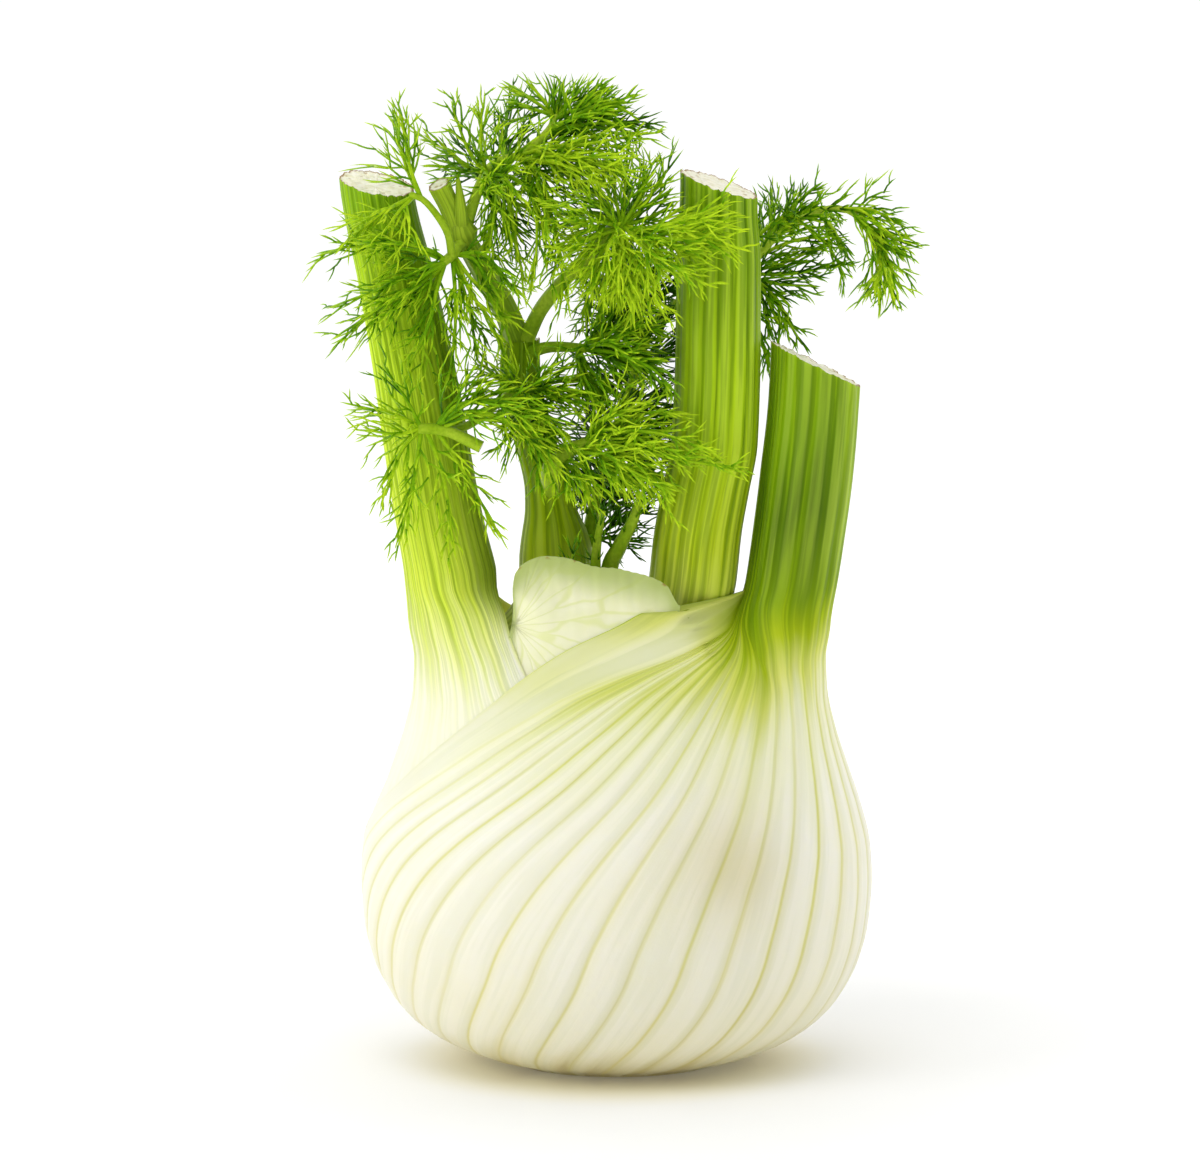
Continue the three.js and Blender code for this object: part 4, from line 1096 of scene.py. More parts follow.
        weight = 0.55 + 0.45 * ripples(past // 1 * 1.7, height * 0.01, self.seed + 2)
        ear = (1 - smoothstep(bearing, *self.ear_bearings)) * smoothstep(height, 76, 86)
        # Painted shade: a band beside the ear, along the notch, takes darker greens from higher up the leaf.
        notch_shade = np.exp(-(((bearing - self.ear_bearings[1] - 8) / 15) ** 2))
        # Painted shade: a soft, warm, darker spot round one bearing and height.
        blush = np.exp(-(((bearing - self.blush[0]) / 13) ** 2) - ((height - self.blush[1]) / 11) ** 2)
        pale = (1 - smoothstep(last - past, 0, 5)) * (1 - smoothstep(height, 84, 93))
        shown = smoothstep(edge, -0.5, 1.5) * (1 - 0.8 * ear) * self.showing(height)
        shown = shown * smoothstep(spacing, 0.5, 2.4)
        shift = NOTCH_SHADE_RISE * notch_shade - EAR_PALING * ear - self.paling * pale
        fields = {
            "vein": vein,
            "strength": np.clip(weight, 0.2, 1.0) * shown,
            "grain": self.grain(past, height),
            "rise": (height + shift) / TALLEST,
            "blush": blush,
            # Painted side shading: how much of the stalk's painted light or shade colour this point takes.
            "flank": smoothstep(angle, *self.painted_side_shading_angles) * smoothstep(height, *self.painted_side_shading_heights),
        }
        return points, fields

    def inner(self, height: Array) -> tuple[Array, dict[str, Array]]:
        """Makes the face towards the bulb's middle, which is the stalk's back above the neck.

        Args:
            height: The rows' heights, as a column.

        Returns:
            Points by row and column, and the fields that the skin's colour reads.
        """
        count = 6 * self.inner_ribs - 1
        share = (np.arange(count) + 1)[None] / (count + 1)
        start = self.start_margin(height)
        end = self.end_margin(height)
        inside = np.clip((share * (count + 1) - 2) / (count - 3), 0, 1)
        turned = (np.arange(count) == 0) | (np.arange(count) == count - 1)
        bulge = 0.5 * np.where(np.arange(count) == 0, 1, -1) * turned
        bearing = blend(end, start, inside) + bulge
        angle = blend(self.rib_reach[1], self.rib_reach[0] + 360, share) + 0 * bearing
        height = np.broadcast_to(height, bearing.shape)
        phase = np.abs(share * self.inner_ribs % 1)
        phase = np.minimum(phase, 1 - phase)
        closing = self.closing(bearing, height)
        sunk = self.rib_depth(height) * (1 - np.sin(math.pi * phase)) * closing * 0.8
        depth = self.depth(bearing, height) + self.thickness(bearing, height) * np.where(turned, 0.5, 1)
        points = self.place(bearing, angle, height, depth, sunk)
        fields = {
            "vein": phase * 2.2 + 0 * height,
            "strength": 0.6 * closing,
            "grain": self.grain(self.ribs[1] + share * self.inner_ribs, height),
            "rise": height / TALLEST,
            "blush": 0 * height,
            "flank": smoothstep(angle, *self.painted_side_shading_angles) * smoothstep(height, *self.painted_side_shading_heights),
        }
        return points, fields

    def grain(self, past: Array, height: Array) -> Array:
        """Gives coordinates that run round the leaf rib by rib and join up where it closes.

        Args:
            past: How many ribs lie between here and the spine.
            height: The height.

        Returns:
            Three coordinates a point.
        """
        total = sum(self.ribs) + self.inner_ribs
        turn = 2 * math.pi * past / total
        radius = total / (2 * math.pi)
        parts = np.broadcast_arrays(radius * np.cos(turn), radius * np.sin(turn), height * GRAIN_RISE)
        return np.stack(parts, axis=-1)

    def slanted(self, points: Array, height: Array) -> Array:
        """Leans the topmost rows so that the last one lies in the cut.

        Args:
            points: The leaf's points by row and column.
            height: Their heights.

        Returns:
            The leaned points.
        """
        centre = self.axis_point(height)
        rise = (points[..., 0] - centre[..., 0]) * self.cut_slope[0]
        rise = rise + (points[..., 1] - centre[..., 1]) * self.cut_slope[1]
        leaning = smoothstep(height, self.cut_height - CUT_RUN, self.cut_height)
        rise = rise * leaning
        rise = rise + 0.2 * leaning**4 * ripples(points[..., 0] * 0.9, points[..., 1] * 0.9, self.seed + 3)
        rise = rise + 0.14 * leaning**16 * ripples(points[..., 0] * 2.6, points[..., 1] * 2.6, self.seed + 4)
        return points + self.axis_point(height + rise) - centre

    def add_to(self, skin: Skin) -> None:
        """Adds the whole leaf: material 0 is its skin and material 1 its cut pith.

        Args:
            skin: The mesh that takes it.
        """
        height = self.heights()
        outer, outer_fields = self.outer(height)
        inner, inner_fields = self.inner(height)
        points = np.concatenate([outer, inner], axis=1)
        fields = {
            name: np.concatenate([outer_fields[name], inner_fields[name]], axis=1) for name in outer_fields
        }
        points = self.slanted(points, np.broadcast_to(height, points.shape[:2]))
        rows, columns = points.shape[:2]
        centre = points[-1].mean(axis=0)
        cap = [blend(points[-1], centre, share) for share in CAP_SHARES]
        cap = [ring - np.array([0, 0, CUT_DISH * math.sqrt(share)]) for ring, share in zip(cap, CAP_SHARES)]
        cap = np.concatenate([*cap, centre[None] - np.array([[0, 0, CUT_DISH]])])
        inward = np.concatenate([np.repeat(CAP_SHARES, columns), [1.0]])
        last_ring = rows * columns + (len(CAP_SHARES) - 1) * columns + np.arange(columns)
        tip = rows * columns + len(CAP_SHARES) * columns
        fan = np.stack([last_ring, np.roll(last_ring, -1), np.full(columns, tip)], axis=1)
        floor = np.arange(columns)[::-1][None]
        every = np.concatenate([points.reshape(-1, 3), cap])
        flat = {name: value.reshape(rows * columns, *value.shape[2:]) for name, value in fields.items()}
        blank = {name: np.zeros((len(cap), *value.shape[1:])) for name, value in flat.items()}
        gathered = {name: np.concatenate([flat[name], blank[name]]) for name in flat}
        number = skin.count
        skin.add(
            every, [grid_faces(rows, columns, True), floor], 0,
            inward=np.concatenate([np.zeros(rows * columns), inward]), **gathered,
        )
        ends = grid_faces(len(CAP_SHARES) + 1, columns, True) + (rows - 1) * columns
        skin.faces.extend([(ends + number, 1), (fan + number, 1)])

    def build(self) -> list[bpy.types.Object]:
        """Makes the leaf's piece.

        Returns:
            The piece, in a list.
        """
        skin = Skin()
        self.add_to(skin)
        finishes = [material_of(self.finish), material_of(Finish.PITH)]
        made = skin.build(f"{self.name}_skin", finishes, sharp_above=42)
        return [settle(made, self.name)]


def depth_under(wrappers: tuple[Leaf, ...], bearing: Array, height: Array, sink: float = SINK) -> Array:
    """Gives how deep a face lies that is inside some leaves, and sinks well beside them.

    Args:
        wrappers: The leaves outside it.
        bearing: Its bearings.
        height: Its heights.
        sink: How far it sinks well beside them.

    Returns:
        The depths.
    """
    total = np.zeros(np.broadcast(bearing, height).shape)
    for leaf in wrappers:
        inside = leaf.degrees_inside(bearing, height)
        spare = smoothstep(inside, 0, MARGIN_TAPER) * HIDDEN_GAP + smoothstep(-inside, 0, SINK_RUN) * sink
        total = total + leaf.thickness(bearing, height) + UNDER_GAP + spare
    return total


def settle(made: bpy.types.Object, node: str) -> bpy.types.Object:
    """Ties a piece to the frame in place of a node, and reports it.

    Args:
        made: The piece.
        node: The node that it replaces.

    Returns:
        The piece.
    """
    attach(made, "root")
    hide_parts(node)
    triangles = sum(len(face.vertices) - 2 for face in made.data.polygons)
    LOG.info("%s: %d triangles", made.name, triangles)
    return made


RIGHT_LEAF = Leaf(
    name="leaf_right",
    slot="outer_leaf_skin",
    finish=Finish.RIGHT_LEAF,
    spine=90,
    start_margin=Profile(
        (0, -177), (3, -164), (10, -141), (20, -122), (30, -111), (40, -98), (49, -83), (58, -66), (66, -51),
        (73, -37), (79, -25), (84, -13), (88.5, 1), (91.5, 9), (92.8, 15), (93.4, 30), (95, 44), (100, 50),
    ),
    end_margin=Profile(
        (0, 181), (20, 183), (40, 181), (55, 174), (68, 162), (80, 147), (90, 130), (97, 118),
    ),
    ribs=(19, 9),
    inner_ribs=6,
    wall=Profile((0, 3.4), (10, 6), (25, 7), (55, 7), (75, 5), (84, 3.2), (92, 1.7), (100, 1.2)),
    neck=(79, 92.5),
    gathering=Profile((46, 0), (64, 0.07), (74, 0.18), (79, 0.36), (84, 0.72), (88, 1)),
    gathered=Profile((0, 30), (0.5, 35), (0.58, 38), (0.76, 57.5), (1, 90)),
    turned=Profile((0, -168), (0.55, -152), (1, 0)),
    ear=(90.5, 93),
    ear_bearings=(17, 31),
    # A spot of painted shade on the belly's front right.
    blush=(27, 45),
    # Painted rim light on the stalk's side between these angles.
    painted_side_shading_angles=(-72, -25),
    axis=(
        (32.2, 0, 84), (34.3, 0.2, 95), (35.6, 0.4, 104), (37, 0.8, 115), (38.5, 1.2, 131), (38.9, 1.4, 142),
    ),
    towards=Profile((84, 9.6), (95, 9.1), (115, 9.15), (131, 8.95)),
    across=Profile((84, 8.9), (95, 8.4), (115, 8.2), (131, 7.9)),
    rib_reach=(-168, 128),
    rib_depth=Profile((0, 0.2), (8, 0.45), (60, 0.48), (84, 0.4), (95, 0.4), (131, 0.4)),
    first_row=0,
    cut_height=136.9,
    cut_slope=(-0.49, -0.02),
    seed=11,
    close_rows=(78, 97),
)
LEFT_LEAF = Leaf(
    name="leaf_left",
    slot="outer_leaf_skin",
    finish=Finish.LEFT_LEAF,
    spine=-90,
    start_margin=Profile((0, -240), (20, -228), (40, -208), (60, -188), (75, -168), (84, -156), (97, -140)),
    end_margin=Profile((0, 60), (20, 45), (40, 20), (60, -5), (73, -20), (84, -30), (90, -33), (97, -42)),
    ribs=(7, 14),
    inner_ribs=5,
    wall=Profile((0, 3), (10, 5.5), (25, 7), (55, 7), (75, 5), (90, 1.8), (100, 1.2)),
    neck=(84, 98),
    axis=(
        (-29.8, -1, 84), (-31.9, -1.4, 95), (-34.8, -1.8, 109), (-38.7, -2, 133.5), (-42.2, -2, 152),
        (-46.5, -2, 176),
    ),
    towards=Profile((84, 9.9), (91, 9.5), (99, 9), (109, 8.6), (133, 8.15), (152, 7.7), (172, 7.1)),
    across=Profile((84, 8.8), (99, 8.1), (133, 7.4), (172, 6.6)),
    rib_reach=(-128, 168),
    crowding=0.9,
    paling=6,
    # Painted shade on the stalk's side away from the light, between these angles and heights.
    painted_side_shading_angles=(92, 145),
    painted_side_shading_heights=(85, 97),
    showing=Profile((64, 0), (74, 0.35), (88, 1)),
    rib_depth=Profile((70, 0), (88, 0.4), (172, 0.38)),
    first_row=BASE_START,
    cut_height=172.3,
    cut_slope=(-0.16, 0.26),
    seed=23,
    wrappers=(RIGHT_LEAF,),
)
WRAPPERS = (RIGHT_LEAF, LEFT_LEAF)
REAR_LEAF = Leaf(
    name="leaf_rear",
    slot="rear_leaf_skin",
    finish=Finish.REAR_LEAF,
    spine=-125,
    start_margin=Profile((0, -206), (75, -205), (97, -214)),
    end_margin=Profile((0, -40), (75, -46), (90, -48), (97, -50)),
    ribs=(6, 6),
    inner_ribs=1,
    wall=Profile((0, 4), (12, 9), (30, 13.5), (60, 13), (80, 9), (97, 5)),
    neck=(72, 93),
    axis=(
        (-11.5, 4, 70), (-11.6, 4.6, 95), (-12, 5, 103), (-12.8, 5.5, 108), (-13.9, 6, 114),
        (-16.6, 6.5, 124), (-18.8, 7, 134), (-18.6, 7, 144),
    ),
    towards=Profile((84, 7.2), (98, 7), (103, 6.2), (108, 5), (114, 4.3), (133, 4.1), (141, 3.8)),
    across=Profile((84, 8.6), (98, 8), (103, 7.2), (108, 5.3), (114, 4.4), (133, 4.1), (141, 3.8)),
    rib_reach=(-172, 172),
    rib_depth=Profile((84, 0), (92, 0.35), (120, 0.3), (141, 0.25)),
    first_row=BASE_START,
    cut_height=141,
    cut_slope=(0.1, 0),
    seed=37,
    wrappers=WRAPPERS,
)
CENTRE_LEAF = Leaf(
    name="leaf_centre",
    slot="green_stalk_skin",
    finish=Finish.CENTRE_LEAF,
    spine=62,
    start_margin=Profile((0, -34), (40, -38), (75, -20), (90, 5), (97, 14)),
    end_margin=Profile((0, 146), (75, 140), (97, 120)),
    ribs=(8, 8),
    inner_ribs=4,
    wall=Profile((0, 4), (12, 9), (30, 13.5), (60, 13), (80, 9), (97, 5)),
    neck=(68, 90),
    axis=(
        (11.5, 1.5, 68), (12.8, 1.5, 84), (14.8, 1.2, 94), (15.9, 1, 104), (17.3, 0.8, 112),
        (19, 0.5, 121.5), (19.7, 0, 141), (19.8, 0, 176),
    ),
    towards=Profile((84, 8.2), (94, 8.7), (112, 8.6), (141, 8.4), (156, 8.35), (170, 7.6)),
    across=Profile((84, 8.2), (94, 8.5), (112, 8.3), (141, 8), (170, 7.4)),
    rib_reach=(-174, 116),
    rib_depth=Profile((80, 0), (90, 0.42), (172, 0.4)),
    first_row=BASE_START,
    cut_height=172,
    cut_slope=(-0.33, 0.1),
    seed=41,
    tuck=2.4,
    wrappers=WRAPPERS,
)


@dataclass(frozen=True)
class Hood:
    """The rear leaf's thin sheath, which stands up in front of the stalks."""

    first: float = -62
    last: float = 17
    foot: float = 60
    thickness: float = 1.1
    fan_from: tuple[float, float] = (-19.6, 88.0)
    columns: int = 240
    rows: int = 64

    def rim(self, bearing: Array) -> Array:
        """Gives the height of the crinkled upper edge.

        Args:
            bearing: The bearings.

        Returns:
            The heights.
        """
        rim = Profile(
            (-62, 80), (-37, 81), (-32, 85), (-28.8, 92), (-27, 97.6), (-22, 100.4), (-17, 101.2),
            (-11, 100.2), (-6, 99.2), (2, 98.6), (8, 97.4), (13, 95.8), (17, 92),
        )
        crinkle = 0.22 * ripples(bearing * 0.16, bearing * 0, 3)
        crinkle = crinkle + 0.12 * ripples(bearing * 0.6, bearing * 0, 4)
        return rim(bearing) + crinkle

    def build(self) -> list[bpy.types.Object]:
        """Makes the hood as one closed thin sheet.

        Returns:
            The piece, in a list.
        """
        bearing = np.linspace(self.first, self.last, self.columns)[None]
        share = np.linspace(0, 1, self.rows)[:, None] ** 0.85
        rim = self.rim(bearing)
        height = blend(self.foot, rim, share)
        clear = smoothstep(-LEFT_LEAF.degrees_inside(bearing, height), 0, 14)
        raised = depth_under((RIGHT_LEAF,), bearing, height, 0.0)
        under = blend(depth_under(WRAPPERS, bearing, height), raised, clear) + 0.15
        free = smoothstep(height, 82, 96)
        folds = 0.3 * ripples(bearing * 0.1, height * 0.12, 8)
        crease = free * (folds + 0.14 * ripples(bearing * 0.3, height * 0.3, 9))
        thinning = 0.45 * smoothstep(height, 84, 100) + 0.3 * smoothstep(rim - height, 3, 0)
        front = on_bulb(bearing, height, under + crease)
        back = on_bulb(bearing, height, under + crease + self.thickness - thinning)
        grid = grid_faces(self.rows, self.columns, False)
        edge = np.broadcast_to(rim - height, front.shape[:2]).ravel()
        skin = Skin()
        every = np.concatenate([front.reshape(-1, 3), back.reshape(-1, 3)])
        number = self.rows * self.columns
        left = np.arange(self.rows) * self.columns
        right = left + self.columns - 1
        foot = np.arange(self.columns)
        top = foot + (self.rows - 1) * self.columns
        strips = [(left, True), (right, False), (foot, False), (top, True)]
        faces = [grid, grid[:, ::-1] + number]
        for line, turned in strips:
            strip = np.stack([line[:-1], line[1:], line[1:] + number, line[:-1] + number], axis=1)
            faces.append(strip if turned else strip[:, ::-1])
        skin.add(every, faces, 0, grain=self.fan(every), edge=np.concatenate([edge, edge]))
        made = skin.build("rear_hood_skin", [material_of(Finish.HOOD)], sharp_above=60)
        return [settle(made, REAR_LEAF.name)]

    def fan(self, points: Array) -> Array:
        """Gives coordinates that fan out from where the veins start, long along them.

        Args:
            points: Points in mm.

        Returns:
            Three coordinates a point.
        """
        x = points[:, 0] - self.fan_from[0]
        z = points[:, 2] - self.fan_from[1]
        reach = np.hypot(x, z)
        turn = np.arctan2(z, x)
        return np.stack([reach * 0.075, turn * 6.0, points[:, 1] * 0.02], axis=1)


@dataclass(frozen=True)
class RearBranches:
    """The rear stalk's fork above the hood, one branch cut off short."""

    stems: tuple[Stem, ...] = (
        Stem([(-18.6, 7, 139), (-21.5, 4, 147), (-26, -0.5, 155.5), (-30, -4, 163)], (2.6, 2.3, 2.0), 9),
        Stem([(-30, -4, 161.5), (-32, -4.4, 167.5), (-34.2, -6.4, 172.4)], (1.9, 2.1), 9),
        Stem([(-29.8, -4.5, 163), (-30, -6, 168), (-30.6, -6, 174)], (1.6, 1.1, 0.3), 7),
        Stem([(-28.6, -3.2, 160.4), (-29.7, -4, 163), (-30.3, -4.4, 165.4)], (1.7, 2.9, 1.8), 9),
    )
    cuts: tuple[int | None, ...] = (None, 1, None, None)

    def build(self) -> list[bpy.types.Object]:
        """Makes the fork as one piece.

        Returns:
            The piece, in a list.
        """
        skin = Skin()
        for stem, cut in zip(self.stems, self.cuts):
            stem.add_to(skin, 0, cut)
        finishes = [material_of(Finish.REAR_LEAF), material_of(Finish.PITH)]
        made = skin.build("rear_branch_skin", finishes, sharp_above=50)
        return [settle(made, REAR_LEAF.name)]


# Fronds


@dataclass(frozen=True)
class Stalkway:
    """A straight length of stalk that threads keep clear of."""

    start: Vector
    end: Vector
    radius: float

    def holds(self, point: Vector) -> bool:
        """Says whether a point is inside the stalk.

        Args:
            point: The point.

        Returns:
            Whether it is.
        """
        run = self.end - self.start
        share = min(1.0, max(0.0, (point - self.start).dot(run) / run.length_squared))
        return (point - self.start - run * share).length < self.radius


def stalkways() -> list[Stalkway]:
    """Gives the lengths of all four stalks.

    Returns:
        The lengths, from the foot of each up.
    """
    ways = []
    for leaf in (RIGHT_LEAF, LEFT_LEAF, REAR_LEAF, CENTRE_LEAF):
        standing = [p for p in leaf.axis if p[2] > 90]
        for a, b in zip(standing, standing[1:]):
            ways.append(Stalkway(Vector(a), Vector(b), float(leaf.towards(a[2])) + 0.3))
    return ways


STALKWAYS = stalkways()
HIGHEST_THREAD = 193.8
THREAD_RINGS = (0.0, 0.36, 0.72)  # where along a thread its three rings are
THREAD_TAPER = (1.0, 0.92, 0.78)  # its thickness at them
THREAD_SHADE_TONES = (-0.26, -0.06, 0.14, 0.3)  # painted shade at a thread's root, deep in the frond, to painted light at its tip
THREAD_ASIDE = (0.3, 0.8, 0.52)
FRONT_PAINTED_LIGHT = 0.015  # painted light: how much brighter a thread is for each mm towards the front, darker behind as shade


@dataclass
class Threads:
    """The threads of a frond, each a bent line that runs out to a point.

    The sizes are listed by how many times a thread still branches: its radius, how far apart its branches
    are, how far they lean and how long they are beside it.
    """

    draw: random.Random
    radius: tuple[float, ...] = (0.19, 0.23, 0.28)
    apart: tuple[float, ...] = (1.0, 3.7, 3.2)
    lean: tuple[tuple[float, float], ...] = ((0, 0), (20, 38), (28, 46))
    share: tuple[float, ...] = (1.0, 0.95, 0.78)
    bends: list[tuple[Vector, Vector, Vector]] = field(default_factory=list)
    radii: list[float] = field(default_factory=list)
    tones: list[float] = field(default_factory=list)

    def sideways(self, way: Vector, roll: float) -> Vector:
        """Gives a direction square to way, rolled round it by some degrees."""
        side = way.cross(Vector((0.2, 1.0, 0.1))).normalized()
        return Matrix.Rotation(math.radians(roll), 3, way) @ side

    def grow(self, root: Vector, way: Vector, pull: Vector, length: float, order: int, tone: float) -> None:
        """Grows a thread and the ones that branch from it.

        Args:
            root: Where it starts.
            way: Its first direction.
            pull: The direction that it bends towards.
            length: Its length.
            order: How many times it still branches.
            tone: How bright it is, 0 to 1.
        """
        draw = self.draw
        middle = root + way * length * 0.5
        curl = self.sideways(way, draw.uniform(0, 360)) * draw.uniform(0, 0.3)
        onward = (way * 0.56 + pull * 0.44 + curl + Vector((0, 0, -0.1 * draw.random()))).normalized()
        end = middle + onward * length * 0.5
        if end.z > HIGHEST_THREAD or any(stalk.holds(end) or stalk.holds(middle) for stalk in STALKWAYS):
            return
        self.bends.append((root, middle, end))
        self.radii.append(self.radius[order])
        self.tones.append(tone + draw.uniform(-0.14, 0.12))
        if order == 0:
            return
        roll = draw.uniform(0, 360)
        count = max(1, round(length / self.apart[order]))
        for i in range(count):
            share = (i + draw.uniform(0.3, 0.8)) / (count + 0.3)
            at = root.lerp(middle, share * 2) if share < 0.5 else middle.lerp(end, share * 2 - 1)
            heading = way.lerp(onward, share).normalized()
            lean = math.radians(draw.uniform(*self.lean[order]))
            side = self.sideways(heading, roll + 180 * i + draw.uniform(-50, 50))
            branch = (heading * math.cos(lean) + side * math.sin(lean)).normalized()
            long = length * (self.share[order] - 0.3 * share) * draw.uniform(0.8, 1.25)
            # Each branch is a little brighter than its parent thread: painted light further out of the
            # frond.
            self.grow(at, branch, heading, long, order - 1, tone + 0.06)

    def add_to(self, skin: Skin, finish: int) -> None:
        """Adds every thread to a mesh as a three-sided tube that ends in a point.

        Args:
            skin: The mesh that takes them.
            finish: The number of their material.
        """
        a, b, c = (np.array([bend[i] for bend in self.bends], float) for i in range(3))
        t = np.array(THREAD_RINGS)[None, :, None]
        pull = 2 * b - 0.5 * (a + c)
        centre = (1 - t) ** 2 * a[:, None] + 2 * t * (1 - t) * pull[:, None] + t**2 * c[:, None]
        along = c - a
        along /= np.linalg.norm(along, axis=1, keepdims=True)
        side = np.cross(along, THREAD_ASIDE)
        side /= np.linalg.norm(side, axis=1, keepdims=True)
        across = np.cross(along, side)
        turn = np.arange(3) * 2 * math.pi / 3
        arms = np.cos(turn)[None, :, None] * side[:, None] + np.sin(turn)[None, :, None] * across[:, None]
        radius = np.array(self.radii)[:, None] * np.array(THREAD_TAPER)
        rings = centre[:, :, None] + arms[:, None] * radius[..., None, None]
        points = np.concatenate([rings.reshape(len(a), 9, 3), c[:, None]], axis=1)
        wall = grid_faces(3, 3, True)
        ends = np.array([[6, 7, 9], [7, 8, 9], [8, 6, 9], [0, 2, 1]])
        first = np.arange(len(a))[:, None, None] * 10
        # Painted shade towards each thread's root, painted light towards its tip and, below, towards the
        # front.
        tone = np.array(self.tones)[:, None] + np.repeat(THREAD_SHADE_TONES, [3, 3, 3, 1])
        tone = tone + np.clip((-2 - points[..., 1]) * FRONT_PAINTED_LIGHT, -0.14, 0.16)
        faces = [(first + wall[None]).reshape(-1, 4), (first + ends[None]).reshape(-1, 3)]
        skin.add(points.reshape(-1, 3), faces, finish, tone=tone.ravel())


@dataclass(frozen=True)
class Frond:
    """A spray: bare stems that carry plumes, each a thin midrib with branching threads on all sides.

    Plumes shorter than lone_below have no others beside them, and one of the stems can be cut off. The
    first stretch of a plume is bare, and from there its threads lean less and less from the midrib.
    """

    name: str
    slot: str
    seed: int
    reach: float
    tone: float
    stems: tuple[Stem, ...]
    plumes: tuple[tuple[Point, ...], ...]
    plume_radii: tuple[float, float] = (0.5, 0.22)
    spacing: float = 2.1
    spread: tuple[float, ...] = (18.0, -24.0, 30.0)
    lone_below: float = 0.0
    cut_stem: int = -1
    bare: float = 0.12
    lean: tuple[float, float] = (50.0, 8.0)

    def build(self) -> list[bpy.types.Object]:
        """Makes the frond's piece.

        Returns:
            The piece, in a list.
        """
        skin = Skin()
        draw = random.Random(self.seed)
        threads = Threads(draw)
        for order, stem in enumerate(self.stems):
            stem.add_to(skin, 1, 2 if order == self.cut_stem else None, tone=self.tone)
        for path in self.plumes:
            # Painted light: plumes nearer the front are brighter, those further back darker as painted
            # shade.
            front = float(np.clip((8 - np.mean([p[1] for p in path])) / 20, 0, 1))
            tone = 0.6 * self.tone + 0.24 * front + draw.uniform(-0.18, 0.1)
            for spray in (list(path), *self.beside(path, draw)):
                Stem(spray, self.plume_radii, 3, 1.0).add_to(skin, 0, tone=tone + 0.18)
                self.fill_plume(spray, threads, tone)
        threads.add_to(skin, 0)
        finishes = [material_of(finish) for finish in (Finish.THREADS, Finish.FROND_STEMS, Finish.PITH)]
        made = skin.build(f"{self.name}_threads", finishes, sharp_above=80)
        return [settle(made, self.name)]

    def beside(self, path: tuple[Point, ...], draw: random.Random) -> list[list[Point]]:
        """Gives the plumes that spread beside one from the same root, a little shorter.

        Args:
            path: The plume's path.
            draw: Where the chances come from.

        Returns:
            Their paths.
        """
        root = Vector(path[0])
        run = Vector(path[-1]) - root
        made = []
        if run.length < self.lone_below:
            return made
        for turn in self.spread:
            toss = Vector((draw.uniform(-1, 1), draw.uniform(-1, 1), draw.uniform(-1, 1)))
            side = run.cross(toss).normalized()
            swing = Matrix.Rotation(math.radians(turn + draw.uniform(-5, 5)), 3, side)
            size = draw.uniform(0.62, 0.9)
            made.append([tuple(root + size * (swing @ (Vector(p) - root))) for p in path])
        return made

    def fill_plume(self, path: list[Point], threads: Threads, tone: float) -> None:
        """Grows the threads of one plume, shorter and leaning less towards its tip.

        Args:
            path: The plume's path.
            threads: What takes the threads.
            tone: How bright they are.
        """
        draw = threads.draw
        length = sum(math.dist(a, b) for a, b in zip(path, path[1:]))
        count = max(4, round(length / self.spacing))
        line = [Vector(p) for p in curve_points(path, count + 2)]
        roll = draw.uniform(0, 360)
        for i in range(1, count + 1):
            share = i / count
            if share < self.bare:
                continue
            way = (line[i + 1] - line[i - 1]).normalized()
            lean = math.radians(blend(*self.lean, share**1.4) + draw.uniform(-9, 9))
            side = threads.sideways(way, roll + 180 * i + draw.uniform(-70, 70))
            onward = (way * math.cos(lean) + side * math.sin(lean)).normalized()
            long = self.reach * (1 - 0.36 * share) * draw.uniform(0.66, 1.1)
            threads.grow(line[i], onward, way, long, 2, tone + draw.uniform(-0.12, 0.12))


